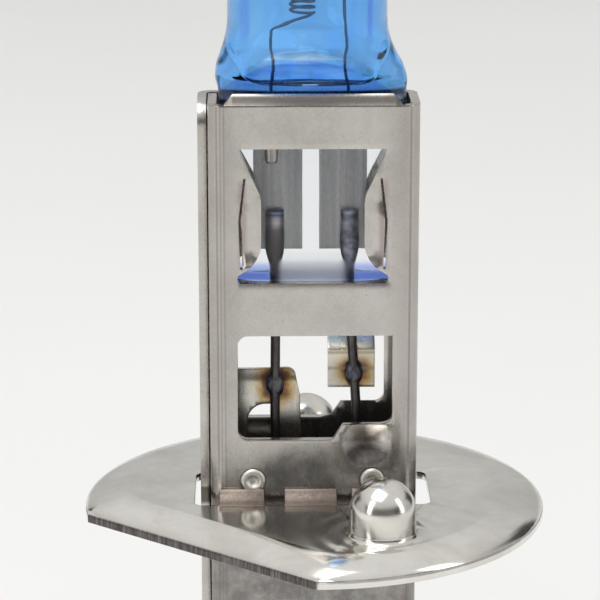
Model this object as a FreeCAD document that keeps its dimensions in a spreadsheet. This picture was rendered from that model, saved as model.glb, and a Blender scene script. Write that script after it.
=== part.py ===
import FreeCAD, Part
import math
import os
import Sketcher

# Headlight bulb with a pinched quartz tube, held by a wrapped sheet sleeve that
# stands through a round locating flange. Millimetres, +Z up along the tube.
# The origin is where the sleeve's axis meets the flat top of the flange.

Vector = FreeCAD.Vector
os.makedirs("parts", exist_ok=True)
doc = FreeCAD.newDocument("headlight_bulb")

DRIVING_SIZES = {
    # sleeve: one sheet wrapped round, its left side lapped over itself
    "sleeve_width": 10.56, "sleeve_depth": 4.36, "sleeve_sheet": 0.45,
    "sleeve_top": 20.70, "sleeve_bottom": -10.0, "sleeve_bend": 0.80,
    "lap_gap": 0.08, "lap_front": -0.73, "lap_inner_end": 1.30, "lap_corner": 1.30,
    "lip_half": 4.45, "lip_top_half": 4.02, "lip_rise": 0.55, "lip_lean": 0.36,
    # clamp window over the pinch
    "clamp_top": 18.50, "clamp_bottom": 11.55, "clamp_top_half": 3.70,
    "clamp_waist_half": 2.61, "clamp_waist_top": 15.95, "clamp_waist_low": 12.70,
    "clamp_foot_half": 3.82, "clamp_foot_top": 11.95, "clamp_round": 1.60,
    "clamp_foot_round": 0.16,
    "slit_half": 3.60, "slit_width": 0.12, "slit_low": 12.30, "slit_high": 17.00,
    # lead window above the flange
    "lead_window_half": 3.85, "lead_window_top": 8.79, "lead_window_low": 3.22,
    "lead_window_step": 0.77, "step_left": 1.05, "step_right": 1.56, "window_round": 0.55,
    # earth tongue, pressed out of the rear sheet
    "tongue_left": 0.84, "tongue_right": 3.29, "tongue_end": 5.13, "tongue_bend": 7.20,
    # press marks on the front of the sleeve
    "mark_half": 3.08, "mark_height": 1.00, "mark_radius": 0.70, "mark_depth": 0.08,
    "dent_place": 2.80, "dent_height": 3.00, "dent_radius": 1.25, "dent_depth": 0.17,
    # flange: a disc with one straight side, its whole edge turned down a little
    "disc_radius": 11.93, "disc_x": 0.12, "disc_y": -0.74, "disc_sheet": 0.45,
    "dish_width": 2.60, "dish_drop": 0.52, "rim_face": 0.39,
    "chord_distance": 9.28, "chord_angle": 229.88,
    "opening_half": 6.10, "opening_front": -3.00, "opening_round": 0.50,
    "tab_height": 0.62, "tab_1_x": -3.67, "tab_1_width": 2.31, "tab_2_x": -0.12,
    "tab_2_width": 2.69, "tab_3_x": 3.18, "tab_3_width": 2.35,
    # locating pins drawn up from the flange
    "pin_radius": 1.675, "pin_height": 2.92, "pin_flare": 0.30,
    "pin_wall": 0.42, "front_pin_x": 3.37, "front_pin_y": -7.47,
    "rear_pin_x": -0.13, "rear_pin_y": 6.76,
    # quartz envelope
    "tube_radius": 4.02, "tube_wall": 0.95, "tube_x": -0.25, "tube_start": 24.60,
    "tube_end": 37.60, "tip_top": 43.20, "tip_radius": 0.85, "tip_neck": 1.20,
    "pinch_half_width": 4.72, "pinch_half_depth": 1.30, "pinch_bottom": 11.30,
    "shoulder_end": 20.60,
    # filament: one tungsten wire, coil and legs
    "coil_wire": 0.16, "coil_diameter": 1.36, "coil_x": -0.50, "coil_low": 25.05,
    "coil_length": 5.00, "coil_turns": 16,
    "leg_foot": 17.40, "short_leg_x": -2.06, "short_leg_bend": 24.05,
    "foot_width": 0.62, "foot_sheet": 0.12, "foot_length": 1.80,
    "long_leg_x": 1.88, "long_leg_shoulder_x": 1.40, "long_leg_crown": 30.75,
    "long_leg_foot": 18.20,
    # foils and outer leads
    "foil_sheet": 0.05, "foil_plane": 0.425, "foil_low": 12.87, "foil_high": 19.60,
    "left_foil_inner": 0.50, "left_foil_outer": 2.96,
    "right_foil_inner": 0.36, "right_foil_outer": 2.76,
    "lead_wire": 0.50, "lead_top": 15.00, "lead_flat_half": 0.47, "lead_flat_low": 11.90,
    "live_lead_x": -1.90, "live_lead_end": 2.20,
    "earth_lead_x": 1.90, "earth_lead_end": 3.00, "earth_lead_spread": 0.50,
    "weld_radius": 0.52, "weld_length": 1.30, "live_weld_height": 5.55,
    "earth_weld_height": 6.10,
    # live side: strap, blade, rivet and insulator
    "strap_sheet": 0.30, "strap_left": -4.20, "strap_right": -0.60, "strap_top": 6.20,
    "strap_slant": 1.60, "strap_low": -9.20, "strap_half": 1.60,
    "notch_left": -3.35, "notch_right": -2.05, "notch_top": 4.36, "notch_low": 2.20,
    "blade_width": 6.30, "blade_sheet": 0.80, "blade_top": -6.20, "blade_end": -21.20,
    "blade_taper": 1.20, "blade_hole_radius": 0.85, "blade_hole_height": -16.80,
    "rivet_height": -7.80, "rivet_radius": 0.75, "rivet_head": 1.25, "rivet_head_rise": 0.40,
    "plug_top": -4.60, "plug_gap": 0.08, "collar_drop": 2.40, "collar_grow": 0.35,
}

sheet = doc.addObject("Spreadsheet::Sheet", "sizes")
for row, (word, size) in enumerate(DRIVING_SIZES.items(), start=1):
    sheet.set("A%d" % row, word)
    sheet.set("B%d" % row, str(size))
    sheet.setAlias("B%d" % row, word)
doc.recompute()


def size(word):
    return float(sheet.get(word))


def number(expression):
    return float(sheet.evalExpression(expression))


def linked(expression):
    """Add the sheet's name to every size that an expression uses."""
    words = sorted(DRIVING_SIZES, key=len, reverse=True)
    pieces = []
    word = ""
    for letter in expression + " ":
        if letter.isalnum() or letter == "_":
            word += letter
            continue
        pieces.append("sizes." + word if word in words else word)
        pieces.append(letter)
        word = ""
    return "".join(pieces).strip()


# ---------------------------------------------------------------- sketch helpers

def new_body(label):
    body = doc.addObject("PartDesign::Body", label)
    body.Label = label
    return body


def new_sketch(body, plane, name, offset="0"):
    """A sketch on one of the body's own origin planes, moved along its normal."""
    sketch = body.newObject("Sketcher::SketchObject", name)
    for feature in body.Origin.OriginFeatures:
        if feature.Role == plane:
            sketch.AttachmentSupport = [(feature, "")]
    sketch.MapMode = "FlatFace"
    sketch.setExpression("AttachmentOffset.Base.z", linked(offset))
    return sketch


def pin_point(sketch, geometry, end, across, along):
    """Hold one end of a sketch edge at a place given by two expressions."""
    for kind, expression in (("DistanceX", across), ("DistanceY", along)):
        place = sketch.addConstraint(
            Sketcher.Constraint(kind, -1, 1, geometry, end, number(expression)))
        sketch.setExpression("Constraints[%d]" % place, linked(expression))


def outline(sketch, corners):
    """A closed outline. A corner is (across, along), or (across, along, mid_across,
    mid_along) where an arc through the middle point leads on to the next corner."""
    count = len(corners)
    first = sketch.GeometryCount
    for place, corner in enumerate(corners):
        following = corners[(place + 1) % count]
        start = Vector(number(corner[0]), number(corner[1]), 0)
        end = Vector(number(following[0]), number(following[1]), 0)
        if len(corner) == 4:
            middle = Vector(number(corner[2]), number(corner[3]), 0)
            sketch.addGeometry(Part.Arc(start, middle, end), False)
        else:
            sketch.addGeometry(Part.LineSegment(start, end), False)
    for place, corner in enumerate(corners):
        here = first + place
        following = first + (place + 1) % count
        start_end, stop_end = edge_ends(sketch, here, corner)
        next_start = edge_ends(sketch, following, corners[(place + 1) % count])[0]
        sketch.addConstraint(Sketcher.Constraint("Coincident", here, stop_end,
                                                 following, next_start))
        pin_point(sketch, here, start_end, corner[0], corner[1])


def edge_ends(sketch, place, corner):
    """The numbers of an edge's first and last end. A clockwise arc is stored turned."""
    wanted = Vector(number(corner[0]), number(corner[1]), 0)
    if sketch.getPoint(place, 1).distanceToPoint(wanted) < 1e-4:
        return 1, 2
    return 2, 1


def circle(sketch, across, along, radius):
    geometry = sketch.addGeometry(
        Part.Circle(Vector(number(across), number(along), 0), Vector(0, 0, 1),
                    number(radius)), False)
    pin_point(sketch, geometry, 3, across, along)
    place = sketch.addConstraint(Sketcher.Constraint("Radius", geometry, number(radius)))
    sketch.setExpression("Constraints[%d]" % place, linked(radius))


def pad(body, sketch, length, name, midplane=False, backwards=False):
    feature = body.newObject("PartDesign::Pad", name)
    feature.Profile = sketch
    feature.Midplane = midplane
    feature.Reversed = backwards
    feature.setExpression("Length", linked(length))
    doc.recompute()
    return feature


def cut(body, sketch, length, name, midplane=False, backwards=False):
    """A pocket that has to take something away."""
    before = body.Shape.Volume
    feature = body.newObject("PartDesign::Pocket", name)
    feature.Profile = sketch
    feature.Midplane = midplane
    feature.Reversed = backwards
    feature.setExpression("Length", linked(length))
    doc.recompute()
    if feature.Shape.isNull() or feature.Shape.Volume > before - 1e-6:
        raise RuntimeError(name + " cuts nothing")
    return feature


def turned(body, sketch, name, kind="PartDesign::Revolution"):
    feature = body.newObject(kind, name)
    feature.Profile = sketch
    feature.ReferenceAxis = (sketch, ["V_Axis"])
    feature.Angle = 360.0
    doc.recompute()
    return feature


def round_edges(body, radius, name, wanted):
    """Fillet the edges of the body's tip whose middle and direction pass the test."""
    base = body.Tip
    names = []
    for place, edge in enumerate(base.Shape.Edges, start=1):
        if edge.Degenerated or not isinstance(edge.Curve, Part.Line):
            continue
        run = edge.Vertexes[-1].Point.sub(edge.Vertexes[0].Point)
        middle = edge.CenterOfMass
        if wanted(middle, run.normalize(), edge.Length):
            names.append("Edge%d" % place)
    if not names:
        raise RuntimeError(name + " finds no edge")
    feature = body.newObject("PartDesign::Fillet", name)
    feature.Base = (base, names)
    feature.setExpression("Radius", linked(radius))
    doc.recompute()
    return feature


def upright(run):
    return abs(run.z) > 0.99


def crosswise(run):
    return abs(run.y) > 0.99


def near(value, target, slack=0.03):
    return abs(value - target) < slack


def shaped(label, shape):
    """A sub-part whose shape is made with Part's own functions."""
    feature = doc.addObject("Part::Feature", label)
    feature.Label = label
    feature.Shape = shape
    feature.Placement = FreeCAD.Placement()
    return feature


# ---------------------------------------------------------------- wire helpers

def bent_path(points, radius):
    """Straight runs joined by tangent arcs of one radius."""
    points = [Vector(*point) for point in points]
    edges = []
    here = points[0]
    for before, corner, after in zip(points, points[1:], points[2:]):
        incoming = (corner - before).normalize()
        outgoing = (after - corner).normalize()
        turn = incoming.getAngle(outgoing)
        trim = radius * math.tan(turn / 2)
        arc_start = corner - incoming * trim
        arc_end = corner + outgoing * trim
        inward = (outgoing - incoming).normalize()
        middle = corner + inward * (radius / math.cos(turn / 2) - radius)
        edges.append(Part.LineSegment(here, arc_start).toShape())
        edges.append(Part.Arc(arc_start, middle, arc_end).toShape())
        here = arc_end
    edges.append(Part.LineSegment(here, points[-1]).toShape())
    return Part.Wire(edges)


def round_wire(path, diameter):
    """A round wire along a path, as one closed solid."""
    start = path.Edges[0]
    first = start.FirstParameter
    disc = Part.Circle(start.valueAt(first), start.tangentAt(first), diameter / 2)
    section = Part.Wire([disc.toShape()])
    return path.makePipeShell([section], True, False)


# ---------------------------------------------------------------- sleeve

def build_sleeve():
    body = new_body("sleeve")
    half = "sleeve_width / 2"
    front = "-sleeve_depth / 2"
    rear = "sleeve_depth / 2"
    sheet_in = "sleeve_sheet"
    lap_in = "(-%s - lap_gap)" % half
    lap_out = "(-%s - lap_gap - sleeve_sheet)" % half

    section = new_sketch(body, "XY_Plane", "sleeve_section", "sleeve_bottom")
    outline(section, [
        ("-" + half, "lap_inner_end"),
        ("-" + half, front),
        (half, front),
        (half, rear),
        (lap_out, rear),
        (lap_out, "lap_front"),
        (lap_in, "lap_front"),
        (lap_in, rear + " - " + sheet_in),
        (half + " - " + sheet_in, rear + " - " + sheet_in),
        (half + " - " + sheet_in, front + " + " + sheet_in),
        ("-" + half + " + " + sheet_in, front + " + " + sheet_in),
        ("-" + half + " + " + sheet_in, "lap_inner_end"),
    ])
    pad(body, section, "sleeve_top - sleeve_bottom", "sleeve_wrap")

    outer_x = size("sleeve_width") / 2
    outer_y = size("sleeve_depth") / 2
    inner_x = outer_x - size("sleeve_sheet")
    inner_y = outer_y - size("sleeve_sheet")
    lap_x = outer_x + size("lap_gap") + size("sleeve_sheet")

    def outer_bend(middle, run, length):
        at_side = near(abs(middle.x), outer_x) or near(middle.x, -lap_x)
        return upright(run) and at_side and near(abs(middle.y), outer_y)

    def inner_bend(middle, run, length):
        lap_inner = near(middle.x, -lap_x + size("sleeve_sheet"))
        return (upright(run) and (near(abs(middle.x), inner_x) or lap_inner)
                and near(abs(middle.y), inner_y))

    round_edges(body, "sleeve_bend", "outer_bends", outer_bend)
    round_edges(body, "sleeve_bend - sleeve_sheet", "inner_bends", inner_bend)

    def lap_end(middle, run, length):
        return (abs(run.x) > 0.99 and near(middle.z, size("sleeve_top"))
                and near(middle.y, size("lap_front")))

    round_edges(body, "lap_corner", "lap_top_corner", lap_end)

    clamp = new_sketch(body, "XZ_Plane", "clamp_window")
    outline(clamp, [
        ("-clamp_top_half", "clamp_top"),
        ("-clamp_waist_half", "clamp_waist_top"),
        ("-clamp_waist_half", "clamp_waist_low"),
        ("-clamp_foot_half", "clamp_foot_top"),
        ("-clamp_foot_half", "clamp_bottom"),
        ("clamp_foot_half", "clamp_bottom"),
        ("clamp_foot_half", "clamp_foot_top"),
        ("clamp_waist_half", "clamp_waist_low"),
        ("clamp_waist_half", "clamp_waist_top"),
        ("clamp_top_half", "clamp_top"),
    ])
    cut(body, clamp, "2 * sleeve_depth", "clamp_window_cut", midplane=True)

    def waist(middle, run, length):
        heights = (size("clamp_waist_top"), size("clamp_waist_low"))
        return (crosswise(run) and near(abs(middle.x), size("clamp_waist_half"))
                and min(abs(middle.z - height) for height in heights) < 0.03)

    round_edges(body, "clamp_round", "clamp_waist_rounds", waist)

    def foot(middle, run, length):
        return crosswise(run) and near(abs(middle.x), size("clamp_foot_half"))

    round_edges(body, "clamp_foot_round", "clamp_foot_rounds", foot)

    leads = new_sketch(body, "XZ_Plane", "lead_window")
    outline(leads, [
        ("-lead_window_half", "lead_window_top"),
        ("-lead_window_half", "lead_window_low"),
        ("step_left", "lead_window_low"),
        ("step_right", "lead_window_low + lead_window_step"),
        ("lead_window_half", "lead_window_low + lead_window_step"),
        ("lead_window_half", "lead_window_top"),
    ])
    cut(body, leads, "2 * sleeve_depth", "lead_window_cut", midplane=True)

    def window_corner(middle, run, length):
        return (crosswise(run) and near(abs(middle.x), size("lead_window_half"))
                and middle.z < size("lead_window_top") + 0.1
                and not (middle.x > 0 and near(middle.z, size("lead_window_top"))))

    round_edges(body, "window_round", "lead_window_rounds", window_corner)

    slits = new_sketch(body, "XZ_Plane", "clamp_slits")
    for side in ("-", ""):
        hand = "(0 %s 1) * " % (side or "+")
        outline(slits, [
            (hand + "(slit_half - 0.04)", "slit_low"),
            (hand + "(slit_half + slit_width - 0.04)", "slit_low"),
            (hand + "(slit_half + slit_width + 0.04)", "slit_high - 2.2"),
            (hand + "(slit_half + slit_width - 0.22)", "slit_high"),
            (hand + "(slit_half - 0.22)", "slit_high"),
            (hand + "(slit_half + 0.04)", "slit_high - 2.2"),
        ])
    cut(body, slits, "2 * sleeve_depth", "clamp_slit_cut", midplane=True)

    lips = new_sketch(body, "YZ_Plane", "lip_profile", "-lip_half")
    top = "sleeve_top"
    for hand in ("(0 - 1) * ", "(0 + 1) * "):
        outline(lips, [
            (hand + "(sleeve_depth / 2)", top + " - 0.3"),
            (hand + "(sleeve_depth / 2)", top + " - 0.1"),
            (hand + "(sleeve_depth / 2 - lip_lean)", top + " + lip_rise"),
            (hand + "(sleeve_depth / 2 - sleeve_sheet - lip_lean)", top + " + lip_rise - 0.2"),
            (hand + "(sleeve_depth / 2 - sleeve_sheet)", top + " - 0.3"),
        ])
    pad(body, lips, "2 * lip_half", "lips")

    ends = new_sketch(body, "XZ_Plane", "lip_ends")
    for hand in ("(0 - 1) * ", "(0 + 1) * "):
        outline(ends, [
            (hand + "lip_top_half", top + " + 2 * lip_rise"),
            (hand + "lip_top_half", top + " + lip_rise"),
            (hand + "(lip_half + 0.01)", top + " + 0.005"),
            (hand + "(lip_half + 0.01)", top + " + 2 * lip_rise"),
        ])
    cut(body, ends, "2 * sleeve_depth", "lip_end_cut", midplane=True)

    tongue = new_sketch(body, "YZ_Plane", "tongue_profile", "tongue_left")
    rear_in = "sleeve_depth / 2 - sleeve_sheet"
    face = "foil_plane - foil_sheet / 2"
    outline(tongue, [
        (rear, "lead_window_top + 0.2"),
        (rear, "lead_window_top - 0.25"),
        (face + " + sleeve_sheet", "tongue_bend - 0.15"),
        (face + " + sleeve_sheet", "tongue_end"),
        (face, "tongue_end"),
        (face, "tongue_bend + 0.1"),
        (rear_in, "lead_window_top"),
        (rear_in, "lead_window_top + 0.2"),
    ])
    pad(body, tongue, "tongue_right - tongue_left", "earth_tongue")

    marks = new_sketch(body, "XZ_Plane", "weld_marks", "sleeve_depth / 2")
    for hand in ("(0 - 1) * ", "(0 + 1) * "):
        circle(marks, hand + "mark_half", "mark_height", "mark_radius")
    cut(body, marks, "mark_depth", "weld_mark_cut")

    dent = body.newObject("PartDesign::SubtractiveSphere", "dent")
    ball = "(dent_radius * dent_radius + dent_depth * dent_depth) / (2 * dent_depth)"
    dent.setExpression("Radius", linked(ball))
    dent.setExpression("AttachmentOffset.Base.x", linked("dent_place"))
    dent.setExpression("AttachmentOffset.Base.y",
                       linked("-sleeve_depth / 2 - %s + dent_depth" % ball))
    dent.setExpression("AttachmentOffset.Base.z", linked("dent_height"))
    for feature in body.Origin.OriginFeatures:
        if feature.Role == "XY_Plane":
            dent.AttachmentSupport = [(feature, "")]
    dent.MapMode = "FlatFace"
    doc.recompute()
    body.Tip = dent
    return body


def build_spot_welds():
    """The fused buttons that fill the round electrode marks, with a small crater."""
    body = new_body("spot_welds")
    discs = new_sketch(body, "XZ_Plane", "weld_buttons",
                       "sleeve_depth / 2 - mark_depth")
    for hand in ("(0 - 1) * ", "(0 + 1) * "):
        circle(discs, hand + "mark_half", "mark_height", "mark_radius * 0.97")
        circle(discs, hand + "mark_half", "mark_height", "mark_radius * 0.34")
    pad(body, discs, "mark_depth * 0.9", "buttons")
    return body


# ---------------------------------------------------------------- flange

def flange_outline(body, name, inset, height):
    """The disc with its straight side, drawn in from its edge by an inset."""
    sketch = new_sketch(body, "XY_Plane", name, height)
    reach = "(disc_radius - %s)" % inset
    flat = "(chord_distance - %s)" % inset
    half = "sqrt(%s * %s - %s * %s)" % (reach, reach, flat, flat)
    ends = []
    for sign in ("-", "+"):
        ends.append((
            "%s * cos(chord_angle) %s %s * sin(chord_angle)" % (flat, sign, half),
            "%s * sin(chord_angle) %s %s * cos(chord_angle)" % (flat, flip(sign), half)))
    far_side = ("-%s * cos(chord_angle)" % reach, "-%s * sin(chord_angle)" % reach)
    outline(sketch, [ends[0] + far_side, ends[1]])
    return sketch


def flange_loft(body, kind, name, levels):
    """A ruled loft through outlines, each given by its inset and its height."""
    sketches = [flange_outline(body, "%s_%d" % (name, place), inset, height)
                for place, (inset, height) in enumerate(levels, start=1)]
    feature = body.newObject(kind, name)
    feature.Profile = sketches[0]
    feature.Sections = sketches[1:]
    feature.Ruled = True
    doc.recompute()
    return feature


# how far in from the edge, as a part of the dish's width, and how far down there, as a
# part of its drop
DISH_TOP = [(0.0, 1.0), (0.046, 0.81), (0.135, 0.58), (0.27, 0.37), (0.46, 0.19),
            (0.73, 0.06), (1.0, 0.0)]
DISH_UNDER = [(0.127, 0.92), (0.23, 0.48), (0.46, 0.22), (0.73, 0.08), (1.04, 0.0)]


def build_flange():
    body = new_body("flange_plate")
    body.setExpression("Placement.Base.x", linked("disc_x"))
    body.setExpression("Placement.Base.y", linked("disc_y"))

    levels = [("0", "-dish_drop - rim_face")]
    for inset, drop in DISH_TOP:
        levels.append(("dish_width * %s" % inset, "-dish_drop * %s" % drop))
    flange_loft(body, "PartDesign::AdditiveLoft", "disc", levels)
    levels = []
    for inset, drop in DISH_UNDER:
        levels.append(("dish_width * %s" % inset, "-disc_sheet - dish_drop * %s" % drop))
    before = body.Shape.Volume
    flange_loft(body, "PartDesign::SubtractiveLoft", "underside", levels)
    if not 0 < body.Shape.Volume < before:
        raise RuntimeError("the flange is not hollow underneath")

    opening = new_sketch(body, "XY_Plane", "sleeve_opening", "1")
    left = "-opening_half - disc_x"
    right = "opening_half - disc_x"
    low = "opening_front - disc_y"
    high = "sleeve_depth / 2 - disc_y"
    outline(opening, [(left, low), (right, low), (right, high), (left, high)])
    cut(body, opening, "4", "sleeve_opening_cut")

    def opening_corner(middle, run, length):
        sides = (number(left), number(right))
        return upright(run) and (near(middle.x, sides[0]) or near(middle.x, sides[1]))

    round_edges(body, "opening_round", "opening_rounds", opening_corner)

    for name in ("tab_1", "tab_2", "tab_3"):
        start = "%s_x - %s_width / 2 - disc_x" % (name, name)
        tab = new_sketch(body, "YZ_Plane", name + "_profile", start)
        face = "-sleeve_depth / 2 - disc_y"
        root = "opening_front - disc_y - 0.15"
        outline(tab, [
            (root, "-disc_sheet"),
            (face, "-disc_sheet"),
            (face, "tab_height - 0.12", face + " - 0.10", "tab_height"),
            (face + " - 0.25", "tab_height - 0.03", face + " - 0.66", "tab_height * 0.62"),
            (root, "0"),
        ])
        pad(body, tab, name + "_width", name)

    for name in ("front", "rear"):
        add_pin(body, name)
    return body


def flip(sign):
    return "-" if sign == "+" else "+"


def add_pin(body, name):
    """A hollow locating pin with a domed end, drawn up out of the flange sheet."""
    across = "%s_pin_x - disc_x" % name
    along = "-(%s_pin_y - disc_y)" % name
    straight = "(pin_height - pin_radius)"
    outer = new_sketch(body, "XZ_Plane", name + "_pin_outer", along)
    outer.setExpression("AttachmentOffset.Base.x", linked(across))
    outline(outer, [
        ("0", "-disc_sheet / 2"),
        ("pin_radius + pin_flare", "-disc_sheet / 2"),
        ("pin_radius + pin_flare", "-0.03", "pin_radius + pin_flare * 0.3", "pin_flare * 0.26"),
        ("pin_radius", "pin_flare"),
        ("pin_radius", straight, "pin_radius * sqrt(0.5)", straight + " + pin_radius * sqrt(0.5)"),
        ("0", "pin_height"),
    ])
    turned(body, outer, name + "_pin")

    before = body.Shape.Volume
    bore = "(pin_radius - pin_wall)"
    inner = new_sketch(body, "XZ_Plane", name + "_pin_inner", along)
    inner.setExpression("AttachmentOffset.Base.x", linked(across))
    outline(inner, [
        ("0", "-disc_sheet - 0.2"),
        (bore, "-disc_sheet - 0.2"),
        (bore, straight, bore + " * sqrt(0.5)", straight + " + " + bore + " * sqrt(0.5)"),
        ("0", straight + " + " + bore),
    ])
    turned(body, inner, name + "_pin_hollow", "PartDesign::Groove")
    if not 0 < body.Shape.Volume < before:
        raise RuntimeError(name + " pin is not hollow")


# ---------------------------------------------------------------- filament, foils, leads

def build_filament():
    """One tungsten wire: the short leg, the coil and the long leg."""
    wire = size("coil_wire")
    radius = (size("coil_diameter") - wire) / 2
    pitch = size("coil_length") / size("coil_turns")
    low = size("coil_low")
    high = low + size("coil_length")
    right = size("coil_x") + radius
    leg_plane = size("foil_plane") - size("foil_sheet") / 2 - wire / 2

    helix = Part.makeHelix(pitch, size("coil_length"), radius)
    start = helix.Edges[0]
    first = start.FirstParameter
    disc = Part.Circle(start.valueAt(first), start.tangentAt(first), wire / 2)
    coil = Part.Wire(helix.Edges).makePipeShell([Part.Wire([disc.toShape()])], True, True)
    coil.translate(Vector(size("coil_x"), 0, low))

    short_path = bent_path([
        (size("short_leg_x"), leg_plane, size("leg_foot")),
        (size("short_leg_x"), leg_plane, size("short_leg_bend")),
        (right - 0.25, 0, low - 0.22),
        (right, 0, low),
    ], 0.28)
    long_path = bent_path([
        (right, 0, high),
        (right + 0.30, 0.05, high + 0.45),
        (size("long_leg_shoulder_x"), 0.10, size("long_leg_crown")),
        (size("long_leg_x") - 0.05, leg_plane, size("leg_foot") + 3.6),
        (size("long_leg_x"), leg_plane, size("long_leg_foot")),
    ], 0.20)
    width, thick = size("foot_width"), size("foot_sheet")
    foot = Part.makeBox(width, thick, size("foot_length"), Vector(
        size("short_leg_x") - width / 2, leg_plane - thick / 2, size("leg_foot") - 0.04))
    ends = [Part.makeSphere(wire * 0.52, Vector(right, 0, height)) for height in (low, high)]
    legs = [round_wire(short_path, wire), round_wire(long_path, wire), foot]
    filament = coil.fuse(legs + ends, 1e-4)
    if len(filament.Solids) != 1 or filament.BoundBox.ZMin > size("leg_foot"):
        raise RuntimeError("the filament is not one whole wire")
    return shaped("filament", solid_of(filament))


def solid_of(shape):
    return shape.Solids[0] if len(shape.Solids) == 1 else shape


def build_foil(label, hand):
    """A feather-edged molybdenum foil, sealed flat in the pinch."""
    body = new_body(label)
    face = new_sketch(body, "XZ_Plane", label + "_face", "-foil_plane - foil_sheet / 2")
    inner = "(%s 1) * %s_inner" % (hand, label)
    outer = "(%s 1) * %s_outer" % (hand, label)
    outline(face, [(inner, "foil_low"), (outer, "foil_low"),
                   (outer, "foil_high"), (inner, "foil_high")])
    pad(body, face, "foil_sheet", label + "_sheet")
    return body


def flattened_end(lead_x, plane):
    """The part of a lead that is pressed flat against its foil."""
    round_half = size("lead_wire") / 2
    flat_half = size("lead_flat_half")
    low, top = size("lead_flat_low"), size("lead_top")
    flat = lofted([
        ring(round_half, low, lead_x),
        oval((round_half + flat_half) / 2, round_half, 2.0, low + 0.35, lead_x),
        oval(flat_half, round_half, 2.0, low + 0.9, lead_x),
        oval(flat_half, round_half, 2.0, top, lead_x),
    ])
    flat.translate(Vector(0, plane, 0))
    return flat


def build_leads():
    wire = size("lead_wire")
    plane = size("foil_plane") - size("foil_sheet") / 2 - wire / 2
    flat_low = size("lead_flat_low")
    live_x = size("live_lead_x")
    live = round_wire(Part.Wire([Part.LineSegment(
        Vector(live_x, plane, flat_low),
        Vector(live_x, plane, size("live_lead_end"))).toShape()]), wire)
    earth_x = size("earth_lead_x")
    earth = round_wire(bent_path([
        (earth_x, plane, flat_low),
        (earth_x, plane, size("pinch_bottom") - 0.5),
        (earth_x + size("earth_lead_spread"), plane, size("earth_lead_end")),
    ], 1.5), wire)
    live = solid_of(live.fuse(flattened_end(live_x, plane)))
    earth = solid_of(earth.fuse(flattened_end(earth_x, plane)))
    return shaped("live_lead", live), shaped("earth_lead", earth)


def build_weld(label, lead, height, support):
    """A flattened weld that holds a lead against the sheet behind it."""
    centre_x = slice_centre(lead.Shape, height)
    plane = size("foil_plane") - size("foil_sheet") / 2
    blob = Part.makeSphere(1.0)
    stretch = FreeCAD.Matrix()
    stretch.scale(size("weld_radius"), size("weld_radius") * 0.62, size("weld_length") / 2)
    blob = blob.transformGeometry(stretch)
    blob.translate(Vector(centre_x, plane - 0.10, height))
    blob = blob.cut(lead.Shape).cut(support.Shape)
    return shaped(label, largest(blob))


def slice_centre(shape, height):
    edges = shape.slice(Vector(0, 0, 1), height)
    return edges[0].BoundBox.Center.x


def largest(shape):
    return max(shape.Solids, key=lambda solid: solid.Volume)


# ---------------------------------------------------------------- quartz envelope

def oval(half_x, half_y, power, height, centre_x=0.0, count=40):
    """A closed smooth ring between an ellipse (power 2) and a rounded oblong."""
    points = []
    for step in range(count):
        angle = 2 * math.pi * step / count
        across, along = math.cos(angle), math.sin(angle)
        reach = (abs(across / half_x) ** power + abs(along / half_y) ** power) ** (-1 / power)
        points.append(Vector(centre_x + reach * across, reach * along, height))
    curve = Part.BSplineCurve()
    curve.interpolate(points, PeriodicFlag=True)
    return Part.Wire([curve.toShape()])


def ring(radius, height, centre_x):
    centre = Vector(centre_x, 0, height)
    return Part.Wire([Part.Circle(centre, Vector(0, 0, 1), radius).toShape()])


def lofted(rings):
    return Part.makeLoft(rings, True, False)


def turned_solid(edges):
    face = Part.Face(Part.Wire(edges))
    return face.revolve(Vector(0, 0, 0), Vector(0, 0, 1), 360)


def line(start, end):
    return Part.LineSegment(Vector(start[0], 0, start[1]), Vector(end[0], 0, end[1])).toShape()


def arc(start, middle, end):
    return Part.Arc(Vector(start[0], 0, start[1]), Vector(middle[0], 0, middle[1]),
                    Vector(end[0], 0, end[1])).toShape()


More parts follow.
